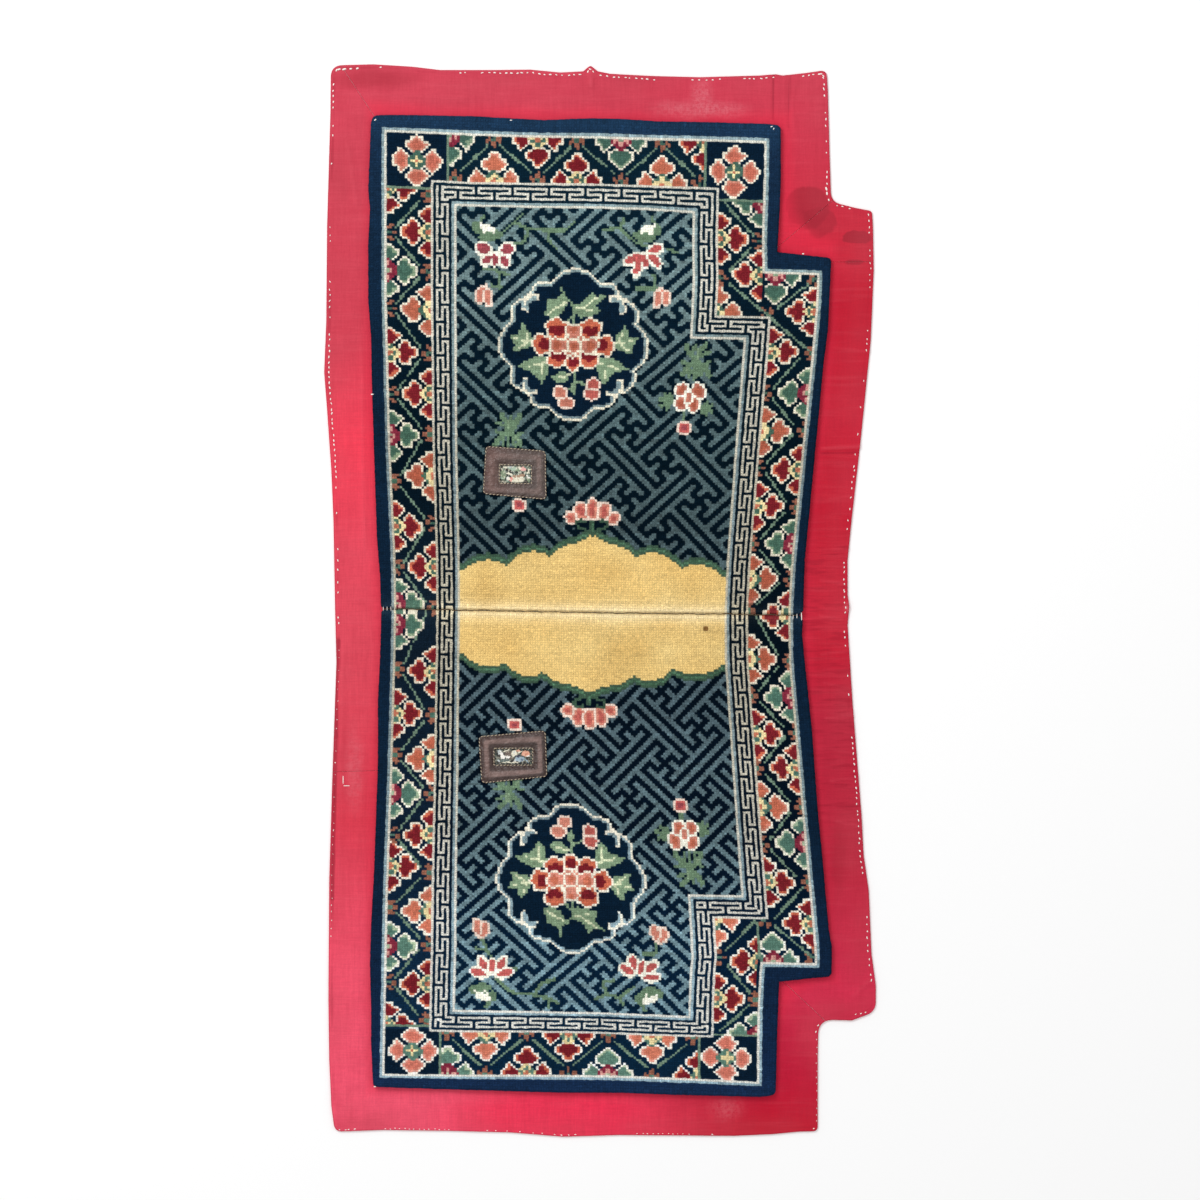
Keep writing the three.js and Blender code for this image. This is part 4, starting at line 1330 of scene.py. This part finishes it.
def redFinish():
    red = Finish("redCotton", Roughness=0.9, Specular_IOR_Level=0.15, Sheen_Weight=0.06)
    at = red.place()
    right, parts = red.axis(at, "X"), red.axis(at, "Y")
    up = red.node("ShaderNodeMapRange", None, {"Value": parts, "From Min": -0.66, "From Max": 0.66})
    sides = {}
    for side, tints in clothTints.items():
        stops = [((y + 660) / 1320, rgba(colour)) for y, colour in tints]
        sides[side] = red.node("ShaderNodeValToRGB", {"stops": stops}, {"Fac": up})
    base = red.mix(red.between(right, -0.16, 0.2), sides["left"], sides["right"])
    base = red.tint(
        base,
        (red.spot(at, (-47, -612), (120, 36), 0.5) * 0.8, (255, 42, 82)),
        (red.noise(at, 7, 3) * 0.15, (246, 86, 108)),
        (red.noise(at, 34, 4, 0.6, 0.42, 0.72) * 0.14, (172, 22, 48)),
        (red.noise(red.place((160, 9, 1)), 1.0, 3, 0.6, 0.4, 0.75) * 0.13, (168, 20, 46)),
        (red.noise(red.place((9, 120, 1)), 1.0, 3, 0.6, 0.5, 0.8) * 0.1, (250, 120, 134)),
        (red.noise(at, 420, 3, 0.7) * 0.1, (150, 18, 40)))
    moved = red.wandering(at, 42.0, 0.014)
    for centre, size, soft, strength in stains:
        base = red.tint(base, (red.spot(moved, centre, size, soft) * strength, (161, 37, 52)))
    for centre, size, soft, strength in scuffs:
        rubbed = red.noise(at, 260, 4, 0.7, 0.3, 0.6) * strength
        base = red.tint(base, (red.spot(moved, centre, size, soft) * rubbed, (236, 150, 160)))
    hem, fold = red.kept("hem"), red.kept("fold")
    groove = red.between((hem - 4.2) * (hem - 4.2), 0.2, 3.4, 1.0, 0.0)
    groove = groove * red.noise(at, 18, 2, low=0.4, high=0.6) * red.between(right, -0.24, -0.3, 0.3, 1.0)
    wrinkled = red.between(right, 0.2, 0.24) * red.between(parts, 0.12, 0.05)
    wrinkled = wrinkled * red.between(parts, -0.31, -0.24)
    wrinkles = red.noise(red.place((22, 150, 1)), 1.0, 2, 0.5, 0.3, 0.7) * (wrinkled * 0.8 + 0.12)
    weft, warp = [red.node("ShaderNodeTexWave", {"bands_direction": axis},
                           {"Vector": at, "Scale": 300.0, "Distortion": 1.2, "Detail Scale": 1.5})
                  for axis in ("X", "Y")]
    threads = weft * 0.5 + warp * 0.5
    slubs = [red.noise(red.place(scale), 1.0, 3) * 0.5 for scale in ((640, 40, 1), (40, 640, 1))]
    slubs = slubs[0] + slubs[1]
    # the hollows of the folds, the stitch groove along the hem and the wrinkles get painted shade, and the
    # ridges of the folds a painted highlight
    base = red.tint(
        base,
        (red.between(fold, -0.1, -0.9) * 0.5, (120, 14, 36)),
        (red.between(fold, 0.25, 1.3) * 0.14, (252, 112, 128)),
        (red.between(hem, 40, 10) * (red.noise(at, 13, 2) * 0.25), (188, 72, 84)),
        (red.between(hem, 36, 56) * 0.42, (244, 44, 74)),
        (groove * 0.3, (150, 24, 46)),
        (red.between(hem, 0.2, 1.6, 1.0, 0.0) * 0.45, (158, 30, 52)),
        (red.between(wrinkles, 0.5, 0.85) * 0.3, (140, 12, 36)),
        (threads * 0.08 + slubs * 0.2, (150, 24, 46)))
    crumple = red.noise(at, 38, 3, 0.55, 0.3, 0.7)
    under = red.bump(wrinkles * 0.9 + crumple * 0.25 - groove * 0.5, 0.0011, 1.0)
    return red.paint(Base_Color=base, Normal=red.bump(threads + slubs, 0.00025, 0.5, under))


redMaterial = redFinish()
for node, name, flat in clothStrips:
    piece = clothStrip(node, name)
    piece.data.materials.append(redMaterial)
    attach(piece, "root")
    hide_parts(node)
print("red cloth made")


# Sewing: each stitch is a short arched thread
def stitches(name, rows, finish, arch=0.5):  # x, y, z, angle in degrees, length and width of each
    x, y, z, turn, length, width = np.array(rows, float).T
    turn = np.radians(turn)
    sides = 6
    rings = []
    for along, girth in [(-1, 0.3), (-0.72, 0.8), (0, 1), (0.72, 0.8), (1, 0.3)]:
        for angle in np.radians(np.arange(sides) * 60 + 30):
            u = along * length / 2
            v = np.cos(angle) * girth * width / 2
            up = np.sin(angle) * girth * width * 0.36 + (1 - along ** 2) * arch * width - 0.25 * width
            rings.append(np.stack([x + u * np.cos(turn) - v * np.sin(turn),
                                   y + u * np.sin(turn) + v * np.cos(turn), z + up], 1))
    count = len(rings)
    one = [(k + a, k + sides + a, k + sides + (a + 1) % sides, k + (a + 1) % sides)
           for k in range(0, count - sides, sides) for a in range(sides)]
    one += [tuple(range(sides)), tuple(range(count - 1, count - sides - 1, -1))]
    faces = [tuple(i * count + corner for corner in face) for i in range(len(rows)) for face in one]
    piece = newPiece(name, np.stack(rings, 1).reshape(-1, 3), faces)
    tidyMesh(piece.data, turn=True)
    piece.data.polygons.foreach_set("use_smooth", [True] * len(piece.data.polygons))
    piece.data.materials.append(finish)
    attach(piece, "root")


def threadFinish(name, colour, shade):
    made = Finish(name, Roughness=0.85, Specular_IOR_Level=0.2)
    twist = made.noise(made.place(), 700, 2)
    return made.paint(Base_Color=made.mix(twist * 0.5, rgba(colour), rgba(shade)),
                      Normal=made.bump(twist, 0.0002, 0.6))


edgeRuns = [  # from, to, pitch, depth in from the edge, length and width of the stitches
    (-316.5, 634, -288, 631.5, 7.1, 4.5, 4.6, 2.8), (-261, 631.5, -261, 631.5, 7.1, 3.5, 3.2, 2),
    (-166, 634, -160, 635, 5.9, 3.5, 3, 2), (-140, 634, -124.5, 634, 7.1, 3.5, 3.4, 2),
    (-118.5, 634, -18, 632.5, 6.8, 4, 3.4, 2.2), (-18, 632.5, 65, 632.5, 6.8, 4, 3.4, 2.2),
    (111.5, 634, 141, 634, 7.1, 3.5, 3.2, 2), (171, 632.5, 204, 631.5, 7.1, 3.5, 3.4, 2),
    (239.5, 634, 265.5, 637.5, 6.5, 3.5, 3.4, 2.2), (271.5, 628, 271.5, 599.5, 6.6, 4, 3.6, 2.2),
    (271.5, 579, 271.5, 564, 7.1, 3.5, 3, 2), (271.5, 546, 271.5, 546, 7.1, 3.5, 3, 1.8),
    (271.5, 532, 271.5, 532, 7.1, 3.5, 3, 1.8), (271.5, 510.5, 271.5, 494, 7.1, 4, 3.2, 2),
    (274, 488, 274, 476, 5.3, 4.6, 5, 3), (282.5, 472.5, 296.5, 469, 6.5, 3, 2.8, 1.8),
    (325, 458, 325, 437, 6.5, 4, 3.4, 2), (325, 415.5, 325, 371.5, 7.1, 4, 2.4, 1.6),
    (325, 319.5, 325, 297, 7.1, 4, 2.6, 1.7), (325, 260, 325, 260, 7.1, 4, 2.6, 1.6),
    (325, 229.5, 325, 229.5, 7.1, 4, 2.6, 1.6), (325, 196, 325, 196, 7.1, 4, 2.6, 1.6),
    (322.5, 172.5, 320, 172.5, 7.1, 4, 2.8, 1.7), (320, 158, 318, 131, 7.7, 4, 3, 1.9),
    (315.5, 120, 310.5, 83.5, 11.3, 4, 2.8, 1.8), (299, 45.5, 295.5, 12.5, 6.8, 4, 3.2, 2.1),
    (294, 10, 294, -15, 6.8, 4, 3.2, 2.1), (294, -35, 294, -53, 7.7, 4, 3, 1.9),
    (295.5, -92, 295.5, -92, 7.1, 4, 3, 1.8), (297.5, -112, 297.5, -112, 7.1, 4, 3, 1.8),
    (303.5, -162, 310.5, -248.5, 6.8, 4, 3.3, 2.1), (310.5, -254.5, 315.5, -323.5, 6.8, 4, 3.3, 2.1),
    (321.5, -376.5, 327.5, -450, 7.8, 4, 3.2, 2), (306, -497.5, 318, -496.5, 5.9, 4, 3, 1.9),
    (258.5, -502.5, 258.5, -512, 7.1, 3, 3, 1.9), (258.5, -521.5, 258.5, -618.5, 8.9, 1.4, 1.8, 1.1),
    (-308.5, -628, -292, -629.5, 6.5, 1.8, 2.6, 1.7), (-255, -629.5, -179, -629.5, 5.9, 1.5, 2, 1.3),
    (-136.5, -629.5, -53.5, -633, 13, 1.6, 2.2, 1.4), (-45, -635.5, -29.5, -636.5, 7.1, 1.8, 2.6, 1.6),
    (44, -634, 105.5, -635.5, 6.2, 1.5, 2, 1.3), (133, -635.5, 133, -635.5, 5.9, 2, 2.4, 1.5),
    (255, -629.5, 255, -629.5, 5.9, 3, 2.4, 1.6), (-320, 612, -320, 586, 6.4, 3.2, 3.2, 2),
    (-320, 564, -320, 552, 11.9, 3.5, 2.8, 1.8), (-322.5, 518.5, -322.5, 518.5, 9.5, 3.5, 2.8, 1.8),
    (-324, 443, -324, 427.5, 7.1, 3.5, 2.2, 1.4), (-325, 377.5, -325, 348, 7.1, 4, 2.8, 1.8),
    (-325, 336, -325, 336, 7.1, 4, 2.8, 1.8), (-326, 317, -326, 303, 7.1, 4.4, 3, 1.9),
    (-327.5, 296, -325, 214, 6.5, 5.4, 3.6, 2.2), (-325, 209, -319, 146.5, 6.5, 5.4, 3.6, 2.2),
    (-318, 133.5, -318, 133.5, 7.1, 4.4, 3, 1.8), (-316.5, 103.5, -316.5, 103.5, 7.1, 4.4, 3, 1.8),
    (-316.5, 59.5, -316.5, 48, 11.9, 4.2, 3, 1.8), (-315.5, 36, -315.5, 36, 7.1, 4, 3, 1.8),
    (-315.5, 20.5, -315.5, 10, 10.7, 4, 3, 1.8), (-314.5, -21, -314.5, -27, 5.9, 4, 3, 1.8),
    (-314.5, -47, -318, -189.5, 11.9, 3, 1.5, 1), (-318, -193, -318, -193, 5.9, 3, 2.6, 1.6),
    (-319, -207, -322.5, -337.5, 11.9, 3, 1.5, 1), (-321.5, -272.5, -321.5, -272.5, 5.9, 3, 2.6, 1.6),
    (-322.5, -343.5, -322.5, -399, 9.5, 3, 2, 1.3),
]
looseStitches = [  # x, y, height above the ground, angle, length, width
    (-266.5, 570, 9.7, 40, 3.4, 1.6), (203.5, 562, 9.7, 20, 3, 1.4), (206, 559.5, 9.7, 70, 2.6, 1.3),
    (-267, -576.5, 9.6, 0, 3, 1.5), (-105.5, 569.5, 9.7, 0, 3, 1.3), (241, 411.2, 8.6, 0, 2.6, 1.8),
    (-270, 244.5, 9.6, 0, 3.4, 1.8), (-305, -213, 2.1, 90, 12, 1.1), (-301, -220, 2.1, 0, 8, 1.1),
    (233.5, -20, 9.3, 88, 9, 0.9), (239, -19, 9.2, 92, 10, 1.2), (229, -20.5, 9.3, 86, 7, 0.8),
    (225.5, -19.5, 9.3, 92, 5, 0.7), (-252.5, -9.5, 9.3, 90, 5.5, 0.7), (-248, -9.8, 9.3, 94, 6, 0.7),
    (-243.5, -10.5, 9.3, 88, 5, 0.7), (-257, -9.5, 9.2, 92, 5, 0.8),
]


def edgeStitches():
    draw = np.random.default_rng(21)
    rows = []
    for x0, y0, x1, y1, pitch, depth, length, width in edgeRuns:
        count = max(1, round(math.hypot(x1 - x0, y1 - y0) / pitch) + 1)
        for t in (np.linspace(0, 1, count) if count > 1 else [0.0]):
            spot = np.array([[x0 + (x1 - x0) * t, y0 + (y1 - y0) * t]]) + draw.normal(0, 0.12 * pitch, (1, 2))
            on, edge = nearestOn(clothLoop, spot)
            run = clothLoop[(edge[0] + 1) % len(clothLoop)] - clothLoop[edge[0]]
            run /= np.linalg.norm(run)
            place = on[0] + np.array([-run[1], run[0]]) * (depth + draw.normal(0, 0.35))
            turn = math.degrees(math.atan2(run[1], run[0])) + draw.normal(0, 14)
            z = clothLook["thickness"] + float(clothRise(place[:1], place[1:])[0])
            rows.append((*place, z, turn, 0.88 * length * (1 + draw.normal(0, 0.16)),
                         0.75 * width * (1 + draw.normal(0, 0.12))))
    return rows + looseStitches


stitches("whiteStitches", edgeStitches(), threadFinish("whiteThread", (250, 246, 240), (222, 208, 204)))
draw = np.random.default_rng(8)
seamRows = []
for x in np.arange(-256, 236, 6.4):
    turn = math.degrees(math.atan2(float(seamY(x + 3)) - float(seamY(x - 3)), 6))
    seamRows.append((x, float(seamY(x)) + draw.normal(0, 0.35), 7.6 + draw.normal(0, 0.15),
                     turn + draw.normal(0, 3), 7.2, 1.0))
stitches("seamStitches", seamRows, threadFinish("seamThread", (104, 86, 62), (62, 52, 42)), arch=0.3)
print("sewing made")


# Leather patches and the printed cotton behind their slots
leatherSection = {  # across from the outer edge to the slot, and rise
    "upper": [(0, 0), (0, 0.5), (0.02, 0.66), (0.055, 0.7), (0.08, 0.58), (0.11, 0.66), (0.18, 0.88),
              (0.3, 0.98),
              (0.45, 1), (0.6, 0.97), (0.75, 0.86), (0.85, 0.7), (0.9, 0.58), (0.94, 0.66), (0.985, 0.62),
              (1, 0.45), (1, 0)],
    "lower": [(0, 0), (0, 0.32), (0.02, 0.42), (0.05, 0.45), (0.075, 0.38), (0.11, 0.5), (0.2, 0.8),
              (0.3, 0.95),
              (0.42, 1), (0.55, 0.95), (0.68, 0.78), (0.79, 0.54), (0.87, 0.32), (0.91, 0.24), (0.94, 0.3),
              (0.985, 0.28), (1, 0.18), (1, 0)],
}
leatherUnder = 8.3
patchRounding = {"outer": 5, "slot": 1.6}


def fourSided(corners, radius, along=34):  # the same number of points on every side, whatever its length
    arcs = rounded([(*p, radius) for p in corners], 5).reshape(4, 5, 2)
    loop = []
    for k in range(4):
        loop += list(arcs[k])
        start, end = arcs[k][-1], arcs[(k + 1) % 4][0]
        loop += [start + (end - start) * t for t in np.linspace(0, 1, along + 2)[1:-1]]
    return np.array(loop)


def leatherPuff(kind, x, y):  # unevenness of the stuffing
    if kind == "upper":
        return 0.95 + 0.08 * np.sin(x / 5.3 + 0.7) * np.sin(y / 6.1) + 0.04 * np.sin(x / 2.1 + y / 3.3)
    return 0.92 + 0.12 * np.sin(x / 6.3 + 1.2) * np.sin(y / 5.2 + 0.4) + 0.05 * np.sin(x / 2.4 - y / 3.1)


def patchRings(kind):
    return [fourSided(patches[kind][edge], radius) for edge, radius in patchRounding.items()]


def leatherPatch(kind, name):
    outside, inside = patchRings(kind)
    around, count = len(outside), len(leatherSection[kind])
    points, depth = [], []
    for across, rise in leatherSection[kind]:
        ring = outside * (1 - across) + inside * across
        puff = leatherPuff(kind, ring[:, 0], ring[:, 1])
        height = np.minimum(rise * puff, 1.0) if rise > 0 else np.zeros(around)
        points.append(np.column_stack([ring, leatherUnder + height * patches[kind]["crown"]]))
        depth += [across] * around
    faces = []
    for k in range(count):
        here, above = k * around, (k + 1) % count * around
        for i in range(around):
            j = (i + 1) % around
            faces.append((here + i, here + j, above + j, above + i))
    piece = newPiece(name, np.concatenate(points), faces)
    tidyMesh(piece.data, merge=True, turn=True)
    keep(piece.data, "across", np.array(depth))
    piece.data.polygons.foreach_set("use_smooth", [True] * len(piece.data.polygons))
    return piece


def leatherFinish(kind, colours):
    hide = Finish("brownLeather" + kind.capitalize(), Specular_IOR_Level=0.6)
    at = hide.place()
    grain = hide.node("ShaderNodeTexVoronoi", None, {"Vector": at, "Scale": 800.0})
    cloud = hide.noise(at, 70, 3)
    across, depth = hide.axis(at, "X"), hide.kept("across")
    left, right = (side([x for x, _ in patches[kind]["outer"]]) * mm for side in (min, max))
    wide = right - left
    # painted shade by the slot of the lower patch: darker towards its left
    shaded = hide.between(across, left + wide * 0.75, left + wide * 0.3) * 0.4 + 0.5
    slotShade, edgeShade, crownHighlight = (shaded, 0.75, 0.6) if kind == "lower" else (0.3, 0.4, 0.3)
    crown = hide.between((depth - 0.46) * (depth - 0.46), 0.045, 0.0) * (cloud * 0.6 + 0.5)
    crease = hide.noise(hide.place((70, 260, 1)), 1.0, 3, 0.6, 0.35, 0.7)
    base = hide.mix(hide.between(across, left, left + wide * 0.6), rgba(colours[0]), rgba(colours[1]))
    # painted shade in the recess by the slot, at the outer edge and in the creases, and a painted highlight
    # on the crown
    base = hide.tint(
        base,
        (cloud * 0.55, colours[2]),
        (hide.noise(at, 420, 3, 0.6) * 0.14, (140, 118, 110)),
        (hide.between(depth, 0.6, 0.8) * slotShade, (56, 34, 28)),
        (hide.between(depth, 0.34, 0.03) * edgeShade, (58, 34, 29)),
        (hide.between(depth, 0.86, 0.92) * 0.5, (74, 64, 60)),
        (crown * crownHighlight, (158, 128, 121)),
        (crease * 0.25, (52, 38, 36)))
    dents = hide.noise(at, 130, 2, 0.5, 0.3, 0.7)
    height = grain * 0.3 + crease * 0.9 + cloud * 0.8 + dents * 2.2
    return hide.paint(Base_Color=base, Roughness=cloud * 0.2 + 0.32, Normal=hide.bump(height, 0.0011, 0.8))


leatherColours = {"upper": ((98, 62, 54), (82, 68, 62), (66, 49, 43)),
                  "lower": ((68, 38, 29), (68, 50, 46), (40, 27, 23))}
slotNames = {"upper": "slot_cloth_upper", "lower": "slot_cloth_lower"}
tanRows = []
draw = np.random.default_rng(33)
for half, patch in patches.items():
    piece = leatherPatch(half, "leatherPatch" + half.capitalize())
    piece.data.materials.append(leatherFinish(half, leatherColours[half]))
    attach(piece, "root")
    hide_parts("leather_" + half)
    outside, inside = patchRings(half)
    across, rise = zip(*leatherSection[half][1:-1])
    for depth, pitch, slant in ((0.035, 4.3, 14), (0.955, 4.0, 12)):
        ring = outside * (1 - depth) + inside * depth
        run = np.linalg.norm(np.roll(ring, -1, 0) - ring, axis=1)
        walked = np.concatenate([[0], np.cumsum(run)])
        closed = np.vstack([ring, ring[:1]])
        z = leatherUnder + float(np.interp(depth, across, rise)) * patch["crown"]
        for at in np.arange(1, walked[-1], pitch):
            at = at + draw.normal(0, 0.2)
            x, y = (float(np.interp(at, walked, closed[:, i])) for i in (0, 1))
            ahead = [float(np.interp(at + 0.8, walked, closed[:, i])) for i in (0, 1)]
            turn = math.degrees(math.atan2(ahead[1] - y, ahead[0] - x)) + slant + draw.normal(0, 8)
            tanRows.append((x, y, z + 0.2, turn, 2.7 * (1 + draw.normal(0, 0.1)), 1.2))
stitches("leatherStitches", tanRows, threadFinish("tanThread", (194, 180, 156), (140, 120, 98)))


cottonInks = {"night": (36, 38, 38), "leaf": (130, 148, 120), "mist": (172, 192, 172), "ash": (198, 204, 204),
              "cream": (238, 233, 210), "white": (250, 246, 238), "rose": (238, 178, 170),
              "red": (224, 140, 130),
              "bark": (166, 132, 108), "peat": (106, 92, 84), "peach": (232, 170, 144),
              "amber": (206, 138, 112),
              "sky": (152, 174, 188), "steel": (88, 106, 130), "ink": (38, 46, 72), "moss": (98, 112, 110)}
cottonPrint = [  # colour, middle, size and turn of the flowers and leaves of the print
    ("leaf", (-115, 149), (3.6, 6.4), 0), ("mist", (-103, 156.5), (6, 2.6), -8),
    ("ash", (-107.4, 158.5), (2.6, 1.5), 0), ("cream", (-112.4, 158), (2.8, 1.6), -20),
    ("leaf", (-98, 154), (2.6, 1.4), 20), ("rose", (-91.8, 156.2), (4.2, 2.3), -6),
    ("cream", (-95.6, 157.2), (1.7, 2.7), 12), ("cream", (-85, 153.6), (3, 1.3), 70),
    ("cream", (-83.4, 154.8), (2.2, 0.8), 30), ("white", (-84.9, 146.8), (3.6, 1.1), -48),
    ("cream", (-107.3, 150.2), (4, 0.8), -12), ("cream", (-98.4, 144), (9.2, 4), 3),
    ("bark", (-94.2, 148.2), (4.8, 1.9), 14), ("red", (-105.8, 144), (2.1, 2.9), -10),
    ("white", (-109, 144.8), (1.7, 2.2), 0), ("bark", (-101.9, 147.2), (2, 1.8), 0),
    ("mist", (-117.6, 146.2), (1.3, 1.5), 0), ("mist", (-115, 144.6), (1.5, 1.3), 0),
    ("leaf", (-85, 143), (1.6, 2.6), 20), ("bark", (-97, 144.4), (0.5, 2.6), 12),
    ("peat", (-108.8, -182), (4.6, 3.3), 0), ("ash", (-119.2, -179.6), (2.3, 2.8), 0),
    ("white", (-116.6, -182.2), (1.5, 4), 16), ("white", (-115.4, -185.6), (2.6, 2.3), 0),
    ("white", (-109.6, -185.8), (3.2, 1.3), -10), ("cream", (-111.4, -178.2), (4.6, 0.8), 18),
    ("cream", (-101.8, -181.2), (3.3, 3.8), 0), ("ash", (-101.6, -181), (0.5, 2.6), 0),
    ("peach", (-96.8, -178), (2.2, 1.2), 0), ("ink", (-97.2, -184.8), (4.2, 1.8), 8),
    ("cream", (-95.4, -179.8), (3.8, 0.9), 25), ("sky", (-95, -188.4), (5.6, 2.6), 0),
    ("steel", (-92.8, -189.2), (1.9, 1.4), 0), ("peach", (-88.2, -181.6), (4.4, 3.6), -10),
    ("amber", (-87.6, -181.6), (2, 1.2), 0), ("white", (-85.4, -184.8), (1.5, 1), 20),
    ("moss", (-111.8, -189.4), (5.2, 2), 0), ("ash", (-100.9, -189.8), (1.5, 2.3), 0),
    ("cream", (-111.4, -191.8), (5.6, 0.8), 0), ("cream", (-101.4, -192), (5, 0.8), 0),
    ("ash", (-119.6, -190.2), (1.1, 2.2), 0), ("sky", (-86.8, -189.8), (3.3, 0.6), -50),
    ("peat", (-105, -187), (2.4, 2), 0),
]


def cottonFinish():
    cotton = Finish("printedCotton", Roughness=0.85)
    at = cotton.place()
    moved = cotton.wandering(at, 330.0, 0.005)
    pale = cotton.between(cotton.axis(at, "Y"), -0.1, 0.1, 0.45, 1.0)
    specks = cotton.noise(at, 330, 3, 0.6, 0.5, 0.6)
    base = cotton.mix(specks * pale * 0.6, rgba(cottonInks["night"]), rgba(cottonInks["mist"]))
    for ink, centre, size, turn in cottonPrint:
        base = cotton.tint(base, (cotton.spot(moved, centre, size, 0.16, turn) * 0.94, cottonInks[ink]))
    veins = cotton.noise(cotton.place((300, 420, 1)), 1.0, 2, 0.5, 0.52, 0.64)
    lines = cotton.noise(cotton.place((420, 260, 1)), 1.0, 2, 0.5, 0.54, 0.62)
    base = cotton.tint(base, (veins * 0.35, (112, 96, 84)), (lines * pale * 0.6, cottonInks["cream"]))
    return cotton.paint(Base_Color=base, Normal=cotton.bump(cotton.noise(at, 900, 2), 0.0002, 0.6))


cottonMaterial = cottonFinish()
for half, patch in patches.items():
    low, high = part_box(slotNames[half])
    bpy.ops.mesh.primitive_grid_add(x_subdivisions=40, y_subdivisions=26, size=1)
    piece = bpy.context.object
    piece.name = "slotCotton" + half.capitalize()
    for vertex in piece.data.vertices:
        x, y = vertex.co.x + 0.5, vertex.co.y + 0.5
        inner = min(x, 1 - x, y, 1 - y)
        lump = 0.5 + 0.5 * math.sin(x * 14 + 2 * math.sin(y * 5)) * math.sin(y * 9 + x * 4)
        lift = 0.55 * mm * lump * min(1, max(0, (inner - 0.14) / 0.12))
        vertex.co = (low.x + (high.x - low.x) * x, low.y + (high.y - low.y) * y, high.z + lift)
    thicken(piece, high.z - low.z)
    bpy.ops.object.shade_smooth_by_angle(angle=math.radians(40))
    piece.data.materials.append(cottonMaterial)
    piece.select_set(False)
    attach(piece, "root")
    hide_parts(slotNames[half])
print("leather made")

low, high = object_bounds()
